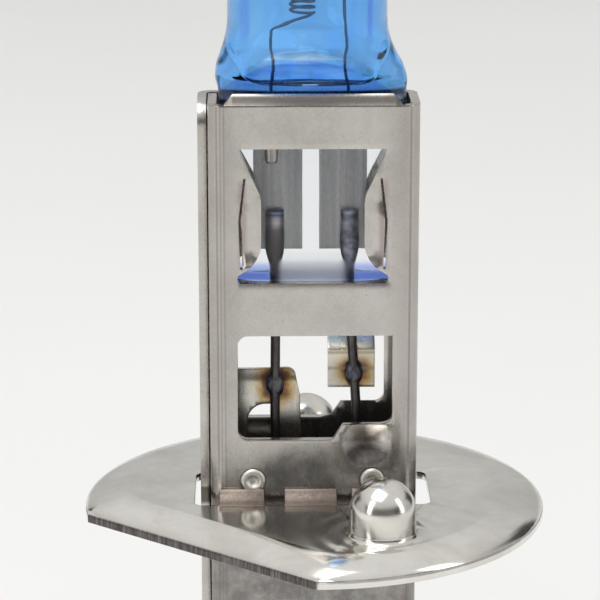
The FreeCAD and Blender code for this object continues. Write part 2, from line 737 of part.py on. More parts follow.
def build_envelope(inside):
    """Closed tube with a domed, sealed-off top and a flat pinch that is cut out only
    where the foils, the leads and the filament's legs are sealed in."""
    radius = size("tube_radius")
    bore = radius - size("tube_wall")
    start, end = size("tube_start"), size("tube_end")
    tip, neck = size("tip_radius"), size("tip_neck")
    tip_centre = size("tip_top") - tip
    wide, deep = size("pinch_half_width"), size("pinch_half_depth")
    foot = size("shoulder_end")
    offset = size("tube_x")

    half_way = math.sqrt(0.5)
    neck_height = end + math.sqrt(radius ** 2 - neck ** 2)
    outer_tube = turned_solid([
        line((0, start), (radius, start)),
        line((radius, start), (radius, end)),
        arc((radius, end), (radius * half_way, end + radius * half_way), (neck, neck_height)),
        line((neck, neck_height), (tip, neck_height + 0.45)),
        line((tip, neck_height + 0.45), (tip, tip_centre)),
        arc((tip, tip_centre), (tip * half_way, tip_centre + tip * half_way),
            (0, size("tip_top"))),
        line((0, size("tip_top")), (0, start)),
    ])
    outer_tube.translate(Vector(offset, 0, 0))
    shoulder = lofted([
        oval(wide, deep, 4.2, foot),
        oval(wide + 0.03, deep + 0.02, 4.0, foot + 0.6),
        oval(wide + 0.12, deep + 0.25, 3.4, foot + 1.15, offset * 0.2),
        oval(wide + 0.02, deep + 0.90, 2.8, foot + 1.8, offset * 0.5),
        oval(wide - 0.28, deep + 1.68, 2.4, foot + 2.5, offset * 0.8),
        oval(wide - 0.55, deep + 2.38, 2.1, foot + 3.25, offset),
        ring(radius, start, offset),
    ])
    pinch = Part.Face(oval(wide, deep, 4.2, foot)).extrude(
        Vector(0, 0, size("pinch_bottom") + 0.5 - foot))
    heel = lofted([
        oval(wide, deep, 4.2, size("pinch_bottom") + 0.5),
        oval(wide - 0.05, deep - 0.08, 3.8, size("pinch_bottom") + 0.25),
        oval(wide - 0.30, deep - 0.35, 3.4, size("pinch_bottom")),
    ])
    outside = outer_tube.fuse([shoulder, pinch, heel])

    inner_tube = turned_solid([
        line((0, start), (bore, start)),
        line((bore, start), (bore, end)),
        arc((bore, end), (bore * half_way, end + bore * half_way), (0, end + bore)),
        line((0, end + bore), (0, start)),
    ])
    inner_tube.translate(Vector(offset, 0, 0))
    throat = lofted([
        oval(2.45, 0.20, 2.0, foot + 1.05, offset * 0.2),
        oval(2.95, 0.45, 2.0, foot + 1.25, offset * 0.3),
        oval(3.30, 1.00, 2.0, foot + 1.75, offset * 0.5),
        oval(3.35, 1.75, 2.0, foot + 2.4, offset * 0.8),
        oval(3.22, 2.50, 2.0, foot + 3.2, offset),
        ring(bore, start, offset),
    ])
    hollow = inner_tube.fuse(throat)
    envelope = outside.cut(hollow).cut(inside)
    return shaped("glass_envelope", largest(envelope))


# ---------------------------------------------------------------- live side

def build_strap():
    body = new_body("live_strap")
    face = "foil_plane - foil_sheet / 2"
    outer = new_sketch(body, "XZ_Plane", "strap_outline", "-(%s) - strap_sheet" % face)
    outline(outer, [
        ("strap_left", "strap_top"),
        ("strap_left", "strap_slant"),
        ("-strap_half", "strap_slant - 3"),
        ("-strap_half", "strap_low"),
        ("strap_half", "strap_low"),
        ("strap_half", "strap_slant - 3"),
        ("strap_right + 0.1", "strap_slant"),
        ("strap_right", "strap_top - 1.4"),
        ("strap_right - 0.25", "strap_top - 0.2", "strap_right - 0.4", "strap_top - 0.04"),
        ("strap_right - 0.75", "strap_top + 0.05"),
    ])
    pad(body, outer, "strap_sheet", "strap_plate")
    notch = new_sketch(body, "XZ_Plane", "strap_notch", "-(%s) - 1" % face)
    outline(notch, [
        ("notch_left", "notch_low"),
        ("notch_right", "notch_low"),
        ("notch_right", "notch_top"),
        ("notch_right - 0.45", "notch_top", "notch_left + 0.25", "notch_top - 0.30"),
        ("notch_left", "notch_low + 1.3"),
    ])
    cut(body, notch, "2", "strap_notch_cut", backwards=True)
    hole = new_sketch(body, "XZ_Plane", "strap_rivet_hole", "-(%s) - 1" % face)
    circle(hole, "0", "rivet_height", "rivet_radius")
    cut(body, hole, "2", "strap_rivet_cut", backwards=True)
    return body


def build_blade():
    body = new_body("blade_terminal")
    face = new_sketch(body, "XZ_Plane", "blade_outline")
    half = "blade_width / 2"
    outline(face, [
        ("-" + half, "blade_top"),
        ("-" + half, "blade_end + blade_taper"),
        ("-%s + blade_taper" % half, "blade_end"),
        (half + " - blade_taper", "blade_end"),
        (half, "blade_end + blade_taper"),
        (half, "blade_top"),
    ])
    pad(body, face, "blade_sheet", "blade_plate", midplane=True)
    holes = new_sketch(body, "XZ_Plane", "blade_holes")
    circle(holes, "0", "blade_hole_height", "blade_hole_radius")
    circle(holes, "0", "rivet_height", "rivet_radius")
    cut(body, holes, "4 * blade_sheet", "blade_hole_cut", midplane=True)

    def tip_edge(middle, run, length):
        return (near(middle.z, size("blade_end")) and abs(run.x) > 0.99
                and length > size("blade_width") / 3)

    base = body.Tip
    names = ["Edge%d" % place for place, edge in enumerate(base.Shape.Edges, start=1)
             if isinstance(edge.Curve, Part.Line) and tip_edge(
                 edge.CenterOfMass,
                 edge.Vertexes[-1].Point.sub(edge.Vertexes[0].Point).normalize(),
                 edge.Length)]
    lead_in = body.newObject("PartDesign::Chamfer", "blade_lead_in")
    lead_in.Base = (base, names)
    lead_in.setExpression("Size", linked("blade_sheet * 0.3"))
    doc.recompute()
    return body


def build_rivet():
    """A round-headed rivet through the blade and the strap."""
    body = new_body("terminal_rivet")
    front = "-blade_sheet / 2"
    rear = "foil_plane - foil_sheet / 2 + strap_sheet"
    profile = new_sketch(body, "XY_Plane", "rivet_profile", "rivet_height")
    outline(profile, [
        ("0", front + " - rivet_head_rise"),
        ("rivet_head * 0.4", front + " - rivet_head_rise", "rivet_head * 0.78",
         front + " - rivet_head_rise * 0.75"),
        ("rivet_head", front + " - rivet_head_rise * 0.2"),
        ("rivet_head", front),
        ("rivet_radius", front),
        ("rivet_radius", rear),
        ("rivet_head * 0.9", rear),
        ("rivet_head * 0.9", rear + " + rivet_head_rise * 0.3", "rivet_head * 0.68",
         rear + " + rivet_head_rise * 0.8"),
        ("rivet_head * 0.35", rear + " + rivet_head_rise"),
        ("0", rear + " + rivet_head_rise"),
    ])
    turned(body, profile, "rivet")
    return body


def build_insulator():
    """The ceramic plug that closes the sleeve and carries the blade."""
    body = new_body("insulator")
    half_x = "sleeve_width / 2 - sleeve_sheet - plug_gap"
    half_y = "sleeve_depth / 2 - sleeve_sheet - plug_gap"
    plug = new_sketch(body, "XY_Plane", "plug_section", "sleeve_bottom")
    outline(plug, [("-(%s)" % half_x, "-(%s)" % half_y), (half_x, "-(%s)" % half_y),
                   (half_x, half_y), ("-(%s)" % half_x, half_y)])
    pad(body, plug, "plug_top - sleeve_bottom", "plug")
    collar = new_sketch(body, "XY_Plane", "collar_section", "sleeve_bottom - collar_drop")
    wide = "sleeve_width / 2 + collar_grow"
    deep = "sleeve_depth / 2 + collar_grow"
    outline(collar, [("-(%s)" % wide, "-(%s)" % deep), (wide, "-(%s)" % deep),
                     (wide, deep), ("-(%s)" % wide, deep)])
    pad(body, collar, "collar_drop", "collar")

    def upright_corner(middle, run, length):
        return upright(run) and length > 1.0

    round_edges(body, "sleeve_bend - sleeve_sheet", "insulator_corners", upright_corner)

    slot = new_sketch(body, "XY_Plane", "blade_slot", "sleeve_bottom - collar_drop - 1")
    outline(slot, [("-blade_width / 2", "-blade_sheet / 2"), ("blade_width / 2", "-blade_sheet / 2"),
                   ("blade_width / 2", "blade_sheet / 2"), ("-blade_width / 2", "blade_sheet / 2")])
    cut(body, slot, "20", "blade_slot_cut", backwards=True)
    well = new_sketch(body, "XY_Plane", "rivet_well", "strap_low")
    reach = "rivet_head + 0.45"
    outline(well, [("-(%s)" % reach, "-1.15"), (reach, "-1.15"), (reach, "1.30"),
                   ("-(%s)" % reach, "1.30")])
    cut(body, well, "20", "rivet_well_cut", backwards=True)
    return body


# ---------------------------------------------------------------- the bulb

left_foil = build_foil("left_foil", "0 -")
right_foil = build_foil("right_foil", "0 +")
live_lead, earth_lead = build_leads()
filament = build_filament()
sleeve = build_sleeve()
spot_welds = build_spot_welds()
flange_plate = build_flange()
live_strap = build_strap()
blade_terminal = build_blade()
terminal_rivet = build_rivet()
insulator = build_insulator()
doc.recompute()
glass_envelope = build_envelope([
    left_foil.Shape, right_foil.Shape, live_lead.Shape, earth_lead.Shape, filament.Shape])
live_lead_weld = build_weld("live_lead_weld", live_lead, size("live_weld_height"), live_strap)
earth_lead_weld = build_weld("earth_lead_weld", earth_lead, size("earth_weld_height"), sleeve)
doc.recompute()

SUB_PARTS = [glass_envelope, filament, left_foil, right_foil, live_lead, earth_lead,
             live_lead_weld, earth_lead_weld, sleeve, spot_welds, flange_plate,
             live_strap, blade_terminal, terminal_rivet, insulator]

for item in doc.Objects:
    if "Invalid" in item.State or "Error" in item.State:
        raise RuntimeError("%s failed: %s" % (item.Name, item.State))
for part in SUB_PARTS:
    if part.Shape.isNull() or not part.Shape.isValid():
        raise RuntimeError(part.Label + " has no valid shape")
for part in SUB_PARTS:
    part.Shape.exportStep("parts/%s.step" % part.Label)
    print("%-16s %2d solids %9.3f mm3" % (part.Label, len(part.Shape.Solids), part.Shape.Volume))
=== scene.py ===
import bpy
import bmesh
import math
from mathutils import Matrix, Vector, noise


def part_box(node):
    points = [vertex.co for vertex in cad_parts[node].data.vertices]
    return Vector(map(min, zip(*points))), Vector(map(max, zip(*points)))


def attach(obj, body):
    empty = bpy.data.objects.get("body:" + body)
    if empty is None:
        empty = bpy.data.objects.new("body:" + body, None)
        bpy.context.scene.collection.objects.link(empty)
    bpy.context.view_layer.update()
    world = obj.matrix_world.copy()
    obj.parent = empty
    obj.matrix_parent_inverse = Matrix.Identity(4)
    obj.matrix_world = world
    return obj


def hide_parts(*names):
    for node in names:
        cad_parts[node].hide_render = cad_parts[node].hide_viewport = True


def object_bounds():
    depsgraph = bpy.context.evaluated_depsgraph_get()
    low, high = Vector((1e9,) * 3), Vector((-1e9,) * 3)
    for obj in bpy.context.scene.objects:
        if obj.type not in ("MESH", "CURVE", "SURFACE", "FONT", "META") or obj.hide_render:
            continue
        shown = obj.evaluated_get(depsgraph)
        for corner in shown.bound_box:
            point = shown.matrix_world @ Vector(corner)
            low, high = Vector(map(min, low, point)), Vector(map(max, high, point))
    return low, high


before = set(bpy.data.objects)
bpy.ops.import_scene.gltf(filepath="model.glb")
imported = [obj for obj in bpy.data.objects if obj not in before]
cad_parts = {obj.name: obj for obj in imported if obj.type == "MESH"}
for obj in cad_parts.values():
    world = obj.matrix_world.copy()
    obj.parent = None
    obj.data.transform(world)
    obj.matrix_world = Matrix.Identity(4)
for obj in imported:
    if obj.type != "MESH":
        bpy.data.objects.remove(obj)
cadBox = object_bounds()
mm = 0.001


def newMaterial(name, **sockets):
    material = bpy.data.materials.new(name)
    material.use_nodes = True
    tree = material.node_tree
    shader = tree.nodes["Principled BSDF"]
    for label, value in sockets.items():
        shader.inputs[label.replace("_", " ")].default_value = value
    return material, tree, shader


def addNode(tree, kind, inputs=None, **settings):
    node = tree.nodes.new(kind)
    for label, value in settings.items():
        setattr(node, label, value)
    for label, value in (inputs or {}).items():
        socket = node.inputs[label]
        if isinstance(value, bpy.types.NodeSocket):
            tree.links.new(value, socket)
        else:
            socket.default_value = value
    return node


def objectPlace(tree, scale=(1, 1, 1), turn=(0, 0, 0)):
    # object coordinates in millimetres, turned and stretched
    where = addNode(tree, "ShaderNodeTexCoord")
    turned = addNode(tree, "ShaderNodeMapping", {"Vector": where.outputs["Object"],
                                                 "Rotation": turn})
    return stretched(tree, turned.outputs[0], [value / mm for value in scale])


def stretched(tree, place, scale):
    return addNode(tree, "ShaderNodeVectorMath", {0: place, 1: scale},
                   operation="MULTIPLY").outputs[0]


def cloud(tree, place, scale, detail=4.0, rough=0.55, distortion=0.0):
    return addNode(tree, "ShaderNodeTexNoise", {"Vector": place, "Scale": scale, "Detail": detail,
                                                "Roughness": rough,
                                                "Distortion": distortion}).outputs["Fac"]


def ramp(tree, factor, stops, smooth="LINEAR"):
    node = addNode(tree, "ShaderNodeValToRGB", {"Fac": factor})
    node.color_ramp.interpolation = smooth
    while len(node.color_ramp.elements) < len(stops):
        node.color_ramp.elements.new(0.5)
    for element, (place, colour) in zip(node.color_ramp.elements, stops):
        element.position = place
        element.color = (*colour, 1) if len(colour) == 3 else colour
    return node.outputs["Color"]


def spread(tree, factor, low, high, fromLow=0.0, fromHigh=1.0, smooth=False):
    return addNode(tree, "ShaderNodeMapRange",
                   {"Value": factor, "From Min": fromLow, "From Max": fromHigh,
                    "To Min": low, "To Max": high},
                   interpolation_type="SMOOTHSTEP" if smooth else "LINEAR").outputs["Result"]


def sums(tree, operation, first, second=0.0, third=None):
    inputs = {0: first, 1: second}
    if third is not None:
        inputs[2] = third
    return addNode(tree, "ShaderNodeMath", inputs, operation=operation).outputs[0]


def times(tree, first, *others):
    for other in others:
        first = sums(tree, "MULTIPLY", first, other)
    return first


def apart(tree, first, second):
    # how far two numbers are apart, either way
    return sums(tree, "ABSOLUTE", sums(tree, "SUBTRACT", first, second))


def within(tree, value, middle, full, none, part=1.0, smooth=False):
    # a mask: part while value is within full of middle, fading out at none
    return spread(tree, apart(tree, value, middle), part, 0.0, full, none, smooth)


def blendColour(tree, factor, first, second, mode="MIX"):
    node = addNode(tree, "ShaderNodeMix", data_type="RGBA", blend_type=mode)
    for place, value in ((0, factor), (6, first), (7, second)):
        if isinstance(value, bpy.types.NodeSocket):
            tree.links.new(value, node.inputs[place])
        elif place == 0:
            node.inputs[place].default_value = value
        else:
            node.inputs[place].default_value = (*value, 1)
    return node.outputs[2]


def axisOf(tree, place, axis):
    return addNode(tree, "ShaderNodeSeparateXYZ", {0: place}).outputs[axis]


def distanceTo(tree, point, flatten=(1, 1, 1)):
    # distance in millimetres from a point given in millimetres
    place = objectPlace(tree, scale=flatten)
    target = [value * flat for value, flat in zip(point, flatten)]
    return addNode(tree, "ShaderNodeVectorMath", {0: place, 1: target},
                   operation="DISTANCE").outputs["Value"]


def feed(tree, shader, colour, rough):
    tree.links.new(colour, shader.inputs["Base Color"])
    tree.links.new(rough, shader.inputs["Roughness"])


def addBump(tree, shader, height, strength, distance, under=None):
    node = addNode(tree, "ShaderNodeBump", {"Height": height, "Strength": strength,
                                            "Distance": distance * mm})
    if under is not None:
        tree.links.new(under, node.inputs["Normal"])
    tree.links.new(node.outputs[0], shader.inputs["Normal"])
    return node.outputs[0]


def heatTint(tree, base, point, reach, flatten=(1, 1, 0.75)):
    # straw, brown, purple and blue rings that a weld leaves on the sheet round it
    away = distanceTo(tree, point, flatten)
    wobble = sums(tree, "SUBTRACT", cloud(tree, objectPlace(tree), 1.6, 3.0), 0.5)
    ringed = sums(tree, "ADD", sums(tree, "DIVIDE", away, reach), times(tree, wobble, 0.45))
    colours = ramp(tree, ringed, [
        (0.00, (0.05, 0.05, 0.06)), (0.26, (0.10, 0.11, 0.17)), (0.38, (0.17, 0.12, 0.14)),
        (0.50, (0.40, 0.22, 0.10)), (0.64, (0.76, 0.58, 0.32)), (0.82, (0.93, 0.86, 0.72)),
        (1.00, (1, 1, 1))])
    return blendColour(tree, 1.0, base, colours, "MULTIPLY")


satinNumbers = {"base": (0.56, 0.535, 0.50), "shade": (0.46, 0.44, 0.405), "roughLow": 0.20,
                "roughHigh": 0.32, "grain": 9.0, "speck": 3.2}


def satinSheet(name, tints=(), base=None, extra=None, rougher=0.0):
    # nickel-plated sheet: fine orange-peel grain, faint rolling lines, small dark specks
    numbers = satinNumbers
    material, tree, shader = newMaterial(name, Metallic=1.0)
    place = objectPlace(tree)
    broad = cloud(tree, place, 0.35, 5.0, 0.6)
    fine = cloud(tree, place, numbers["grain"], 3.0, 0.6)
    lines = cloud(tree, objectPlace(tree, scale=(2.2, 2.2, 0.35)), 1.0, 5.0, 0.65)
    colour = blendColour(tree, spread(tree, broad, 0.0, 1.0, 0.35, 0.68), base or numbers["base"],
                         numbers["shade"])
    colour = blendColour(tree, spread(tree, fine, 0.0, 0.20, 0.42, 0.72), colour,
                         (0.70, 0.68, 0.64))
    specks = addNode(tree, "ShaderNodeTexVoronoi", {"Vector": place, "Scale": numbers["speck"]})
    speckMask = spread(tree, specks.outputs["Distance"], 0.55, 0.0, 0.02, 0.10)
    colour = blendColour(tree, speckMask, colour, (0.20, 0.18, 0.16))
    for point, reach in tints:
        colour = heatTint(tree, colour, point, reach)
    if extra is not None:
        colour = extra(tree, colour)
    feed(tree, shader, colour,
         sums(tree, "ADD", spread(tree, broad, numbers["roughLow"], numbers["roughHigh"]),
              spread(tree, lines, rougher - 0.05, rougher + 0.07)))
    first = addBump(tree, shader, fine, 0.22, 0.012)
    addBump(tree, shader, lines, 0.16, 0.010, first)
    return material


polishNumbers = {"base": (0.80, 0.785, 0.74), "darkening": (0.62, 0.60, 0.55), "rings": 5.2,
                 "ringDeep": 0.045, "waveDeep": 0.05, "jointReach": 1.05, "jointEnd": 1.30,
                 "jointSide": 5.0, "jointTop": 0.62, "edgeZ": -0.62, "cornerBlend": 1.4}


def polishedSheet(name, pins, cut, seatHalf):
    # polished plating with smudges, faint drawing rings round the pins, a sheared cut side
    # and warm copper-brown joints where the tabs meet the sleeve
    numbers = polishNumbers
    material, tree, shader = newMaterial(name, Metallic=1.0)
    place = objectPlace(tree)
    across, deep, height = (axisOf(tree, place, axis) for axis in range(3))
    smudge = cloud(tree, place, 0.28, 6.0, 0.62, 0.4)
    fine = cloud(tree, place, 7.0, 3.0, 0.6)
    colour = blendColour(tree, spread(tree, smudge, 0.0, 1.0, 0.40, 0.75), numbers["base"],
                         numbers["darkening"])
    # sheared cut side: rough, darker, streaked along the thickness
    turn = math.atan2(cut["normal"][1], cut["normal"][0])
    along = objectPlace(tree, turn=(0, 0, -turn))
    streaks = cloud(tree, stretched(tree, along, (0.2, 9.0, 0.5)), 1.0, 4.0, 0.7)
    past = sums(tree, "SUBTRACT", axisOf(tree, along, 0), cut["distance"])
    onCut = spread(tree, past, 0.0, 1.0, -0.10, -0.02)
    streakColour = ramp(tree, streaks, [(0.30, (0.05, 0.042, 0.04)), (0.50, (0.13, 0.115, 0.11)),
                                        (0.72, (0.34, 0.32, 0.30))])
    colour = blendColour(tree, onCut, colour, streakColour)
    # joints at the sleeve
    away = sums(tree, "SUBTRACT", sums(tree, "ABSOLUTE", deep), seatHalf)
    joint = times(tree, spread(tree, height, 0.0, 1.0, 0.003, 0.02),
                  within(tree, across, 0.0, numbers["jointSide"], numbers["jointSide"] + 0.6),
                  spread(tree, away, 1.0, 0.0, numbers["jointReach"], numbers["jointEnd"]))
    warm = ramp(tree, sums(tree, "ADD", spread(tree, height, 0.0, 0.75, 0.0, numbers["jointTop"]),
                           spread(tree, fine, -0.12, 0.12, 0.35, 0.65)),
                [(0.05, (0.13, 0.105, 0.09)), (0.45, (0.20, 0.165, 0.14)),
                 (0.75, (0.37, 0.31, 0.27))])
    colour = blendColour(tree, joint, colour, warm)
    feed(tree, shader, colour,
         sums(tree, "ADD", spread(tree, smudge, 0.11, 0.22, 0.35, 0.70),
              times(tree, sums(tree, "ADD", onCut, joint), 0.34)))
    normal = addBump(tree, shader, fine, 0.05, 0.010)
    for pin in pins:
        away = distanceTo(tree, (*pin, 0), (1, 1, 0))
        wave = sums(tree, "SINE", times(tree, away, numbers["rings"]))
        fade = times(tree, spread(tree, away, 1.0, 0.0, 2.4, 4.6, True),
                     spread(tree, away, 0.0, 1.0, 1.75, 2.1))
        normal = addBump(tree, shader, times(tree, wave, fade), 0.5, numbers["ringDeep"], normal)
    normal = addBump(tree, shader, cloud(tree, place, 0.22, 2.0, 0.5), 0.5, numbers["waveDeep"],
                     normal)
    # the top rolls away towards the outline more roundly than the pressed dish
    fromRim = sums(tree, "SUBTRACT", cut["radius"],
                   distanceTo(tree, (*cut["centre"], 0), (1, 1, 0)))
    inside = sums(tree, "SMOOTH_MIN", fromRim, times(tree, past, -1.0), numbers["cornerBlend"])
    roll = spread(tree, inside, 1.0, 0.0, 0.0, cut["rollWide"])
    rollShape = sums(tree, "ADD", sums(tree, "POWER", roll, 1.1),
                     times(tree, sums(tree, "POWER", roll, 4.0), 0.11))
    onTop = spread(tree, height, 0.0, 1.0, numbers["edgeZ"], numbers["edgeZ"] + 0.12)
    share = spread(tree, deep, -1.0, -0.15, -3.0, 5.0, True)
    normal = addBump(tree, shader, times(tree, rollShape, onTop, share), 1.0, cut["rollDeep"],
                     normal)
    addBump(tree, shader, times(tree, streaks, onCut), 0.5, 0.05, normal)
    return material


def drawnWire(name, low, high, rough, tint=None, grain=30.0, extra=None):
    # drawn wire: lengthwise die lines and a patchy oxide skin
    material, tree, shader = newMaterial(name, Metallic=1.0)
    place = objectPlace(tree, scale=(1, 1, 0.12))
    lines = cloud(tree, place, grain, 4.0, 0.7)
    patches = cloud(tree, objectPlace(tree), 0.9, 4.0, 0.6)
    colour = blendColour(tree, spread(tree, lines, 0.0, 1.0, 0.3, 0.7), low, high)
    if tint is not None:
        colour = blendColour(tree, spread(tree, patches, 0.0, 0.55, 0.45, 0.70), colour, tint)
    if extra is not None:
        colour = extra(tree, colour)
    feed(tree, shader, colour, spread(tree, patches, rough - 0.10, rough + 0.12, 0.3, 0.7))
    addBump(tree, shader, lines, 0.25, 0.008)
    return material


def rolledFoil(name):
    # thin rolled foil sealed in quartz: lengthwise rolling bands, dull grey
    material, tree, shader = newMaterial(name, Metallic=1.0)
    bands = cloud(tree, objectPlace(tree, scale=(1.0, 1.0, 0.02)), 1.3, 3.0, 0.6)
    grain = cloud(tree, objectPlace(tree, scale=(1, 1, 0.3)), 14.0, 4.0, 0.7)
    colour = ramp(tree, bands, [(0.30, (0.31, 0.305, 0.31)), (0.50, (0.46, 0.452, 0.45)),
                                (0.66, (0.60, 0.592, 0.59))])
    colour = blendColour(tree, spread(tree, grain, 0.0, 0.25, 0.4, 0.7), colour,
                         (0.16, 0.16, 0.17))
    feed(tree, shader, colour, spread(tree, grain, 0.42, 0.60))
    addBump(tree, shader, grain, 0.30, 0.006)
    return material


quartzNumbers = {"blue": (0.11, 0.42, 1.0), "pale": (0.20, 0.56, 1.0),
                 "deep": (0.02, 0.085, 0.82), "light": (0.88, 0.97, 1.0),
                 "clear": (0.93, 0.955, 0.985), "heel": (0.20, 0.33, 1.0), "edge": 20.7,
                 "heelTop": 11.95, "arcTop": 23.15, "lensTop": 23.60, "arcCurve": 0.10,
                 "arcMiddle": -0.40, "arcDepth": 0.80, "lensDepth": 0.85, "runsFrom": 23.6,
                 "runs": ((-3.40, 0.34, 0.50), (2.79, 0.20, 0.70))}


def tintedQuartz(name):
    # quartz with a blue film dipped over the tube; the flat pinch is left clear
    numbers = quartzNumbers
    material, tree, shader = newMaterial(name, Transmission_Weight=1.0, IOR=1.46)
    place = objectPlace(tree)
    across, deep, height = (axisOf(tree, place, axis) for axis in range(3))
    drift = cloud(tree, place, 0.5, 3.0)
    level = sums(tree, "ADD", height, spread(tree, drift, -0.35, 0.35))
    filmed = spread(tree, level, 0.0, 1.0, numbers["edge"] - 0.5, numbers["edge"] + 0.4, True)
    filmAndRefraction = blendColour(tree, spread(tree, cloud(tree, objectPlace(tree, scale=(1, 1, 0.25)), 0.6),
                                    0.0, 1.0, 0.35, 0.70), numbers["blue"], numbers["pale"])
    # painted refraction over the shoulder: darker blue under an arc, with a pale lens above it
    middle = sums(tree, "SUBTRACT", across, numbers["arcMiddle"])
    raisedArc = sums(tree, "ADD", height, times(tree, middle, middle, numbers["arcCurve"]))
    inFront = spread(tree, deep, 1.0, 0.0, -1.2, -0.2, True)
    arcTop, lensTop = numbers["arcTop"], numbers["lensTop"]
    wisps = spread(tree, cloud(tree, objectPlace(tree, scale=(0.6, 1, 3)), 0.7, 3.0), 0.45, 1.0,
                   0.3, 0.6)
    under = times(tree, spread(tree, raisedArc, 1.0, 0.0, arcTop - 0.16, arcTop + 0.06, True),
                  inFront, wisps, numbers["arcDepth"])
    filmAndRefraction = blendColour(tree, under, filmAndRefraction, numbers["deep"])
    lens = times(tree, spread(tree, height, 0.0, 1.0, arcTop - 0.04, arcTop + 0.04),
                 spread(tree, raisedArc, 1.0, 0.0, lensTop - 0.10, lensTop), inFront,
                 numbers["lensDepth"])
    filmAndRefraction = blendColour(tree, lens, filmAndRefraction, numbers["light"])
    # two painted refraction bands, darker blue, down the tube
    aboveShoulder = spread(tree, height, 0.0, 1.0, numbers["runsFrom"], numbers["runsFrom"] + 1.2,
                           True)
    for line, wide, part in numbers["runs"]:
        run = times(tree, aboveShoulder, inFront,
                    within(tree, across, line, wide * 0.35, wide, part, True))
        filmAndRefraction = blendColour(tree, run, filmAndRefraction, numbers["deep"])
    colour = blendColour(tree, filmed, numbers["clear"], filmAndRefraction)
    aside = sums(tree, "ABSOLUTE", across)
    heel = times(tree, spread(tree, height, 1.0, 0.0, numbers["heelTop"] - 0.2,
                              numbers["heelTop"] + 0.25, True),
                 spread(tree, aside, 0.25, 1.0, 1.4, 2.4, True))
    colour = blendColour(tree, heel, colour, numbers["heel"])
    frost = times(tree, spread(tree, height, 0.55, 0.0, 12.3, 12.9, True),
                  spread(tree, aside, 1.0, 0.0, 1.6, 2.6, True))
    feed(tree, shader, colour,
         sums(tree, "ADD", frost, spread(tree, drift, 0.0, 0.03, 0.45, 0.8)))
    ripple = cloud(tree, objectPlace(tree, scale=(1, 1, 0.35)), 0.8, 2.0, 0.5)
    addBump(tree, shader, ripple, 0.35, 0.05)
    return material


def clearQuartz(name):
    # the bore's own wall: no film, slight draw lines
    material, tree, shader = newMaterial(name, Transmission_Weight=1.0, IOR=1.46)
    lines = cloud(tree, objectPlace(tree, scale=(1, 1, 0.1)), 1.4, 3.0, 0.5)
    colour = blendColour(tree, spread(tree, lines, 0.0, 1.0), (0.96, 0.98, 1.0),
                         (0.90, 0.95, 1.0))
    feed(tree, shader, colour, spread(tree, lines, 0.0, 0.03))
    addBump(tree, shader, lines, 0.25, 0.03)
    return material


def firedCeramic(name):
    # unglazed steatite: off-white, fine pores and faint mould stains
    material, tree, shader = newMaterial(name, Specular_IOR_Level=0.35)
    place = objectPlace(tree)
    stain = cloud(tree, place, 0.30, 5.0, 0.6)
    grain = cloud(tree, place, 12.0, 4.0, 0.7)
    pores = addNode(tree, "ShaderNodeTexVoronoi", {"Vector": place, "Scale": 5.0})
    pit = spread(tree, pores.outputs["Distance"], 1.0, 0.0, 0.03, 0.12)
    colour = ramp(tree, stain, [(0.30, (0.56, 0.52, 0.44)), (0.55, (0.70, 0.67, 0.60)),
                                (0.75, (0.76, 0.74, 0.68))])
    colour = blendColour(tree, times(tree, pit, 0.5), colour, (0.30, 0.26, 0.21))
    feed(tree, shader, colour, spread(tree, grain, 0.55, 0.75))
    normal = addBump(tree, shader, grain, 0.30, 0.03)
    addBump(tree, shader, sums(tree, "SUBTRACT", 1.0, pit), 0.4, 0.05, normal)
    return material


def scratchedPlate(name, base, darkening):
    # plated terminal metal with fine lengthwise insertion scratches
    material, tree, shader = newMaterial(name, Metallic=1.0)
    place = objectPlace(tree)
    scratches = cloud(tree, objectPlace(tree, scale=(9, 9, 0.12)), 1.2, 5.0, 0.75)
    cloudy = cloud(tree, place, 0.45, 5.0, 0.6)
    colour = blendColour(tree, spread(tree, cloudy, 0.0, 1.0, 0.35, 0.7), base, darkening)
    colour = blendColour(tree, spread(tree, scratches, 0.0, 0.35, 0.55, 0.75), colour,
                         (0.88, 0.86, 0.80))
    feed(tree, shader, colour, spread(tree, cloudy, 0.22, 0.42))
    addBump(tree, shader, scratches, 0.22, 0.012)
    return material


def palePaper(name):
    material, tree, shader = newMaterial(name, Roughness=0.85, Specular_IOR_Level=0.2)
    mottle = cloud(tree, objectPlace(tree, scale=(0.02, 0.02, 0.02)), 1.0, 3.0)
    tree.links.new(blendColour(tree, mottle, (0.83, 0.83, 0.82), (0.87, 0.87, 0.86)),
                   shader.inputs["Base Color"])
    return material


def linkPiece(mesh, name):
    piece = bpy.data.objects.new(name, mesh)
    bpy.context.scene.collection.objects.link(piece)
    return piece


def pieceFrom(work, name):
    mesh = bpy.data.meshes.new(name)
    work.to_mesh(mesh)
    work.free()
    mesh.shade_smooth()
    return linkPiece(mesh, name)


def bakedPiece(piece):
    # apply every modifier and keep a plain mesh
    bpy.context.view_layer.update()
    seen = piece.evaluated_get(bpy.context.evaluated_depsgraph_get())
    mesh = bpy.data.meshes.new_from_object(seen)
    mesh.name = piece.name
    piece.modifiers.clear()
    piece.data = mesh
    return piece


def settle(piece, material, slot, *nodes):
    if material is not None:
        piece.data.materials.clear()
        piece.data.materials.append(material)
    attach(piece, "root")
    if nodes:
        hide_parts(*nodes)
    print("piece", piece.name, len(piece.data.polygons), "faces")


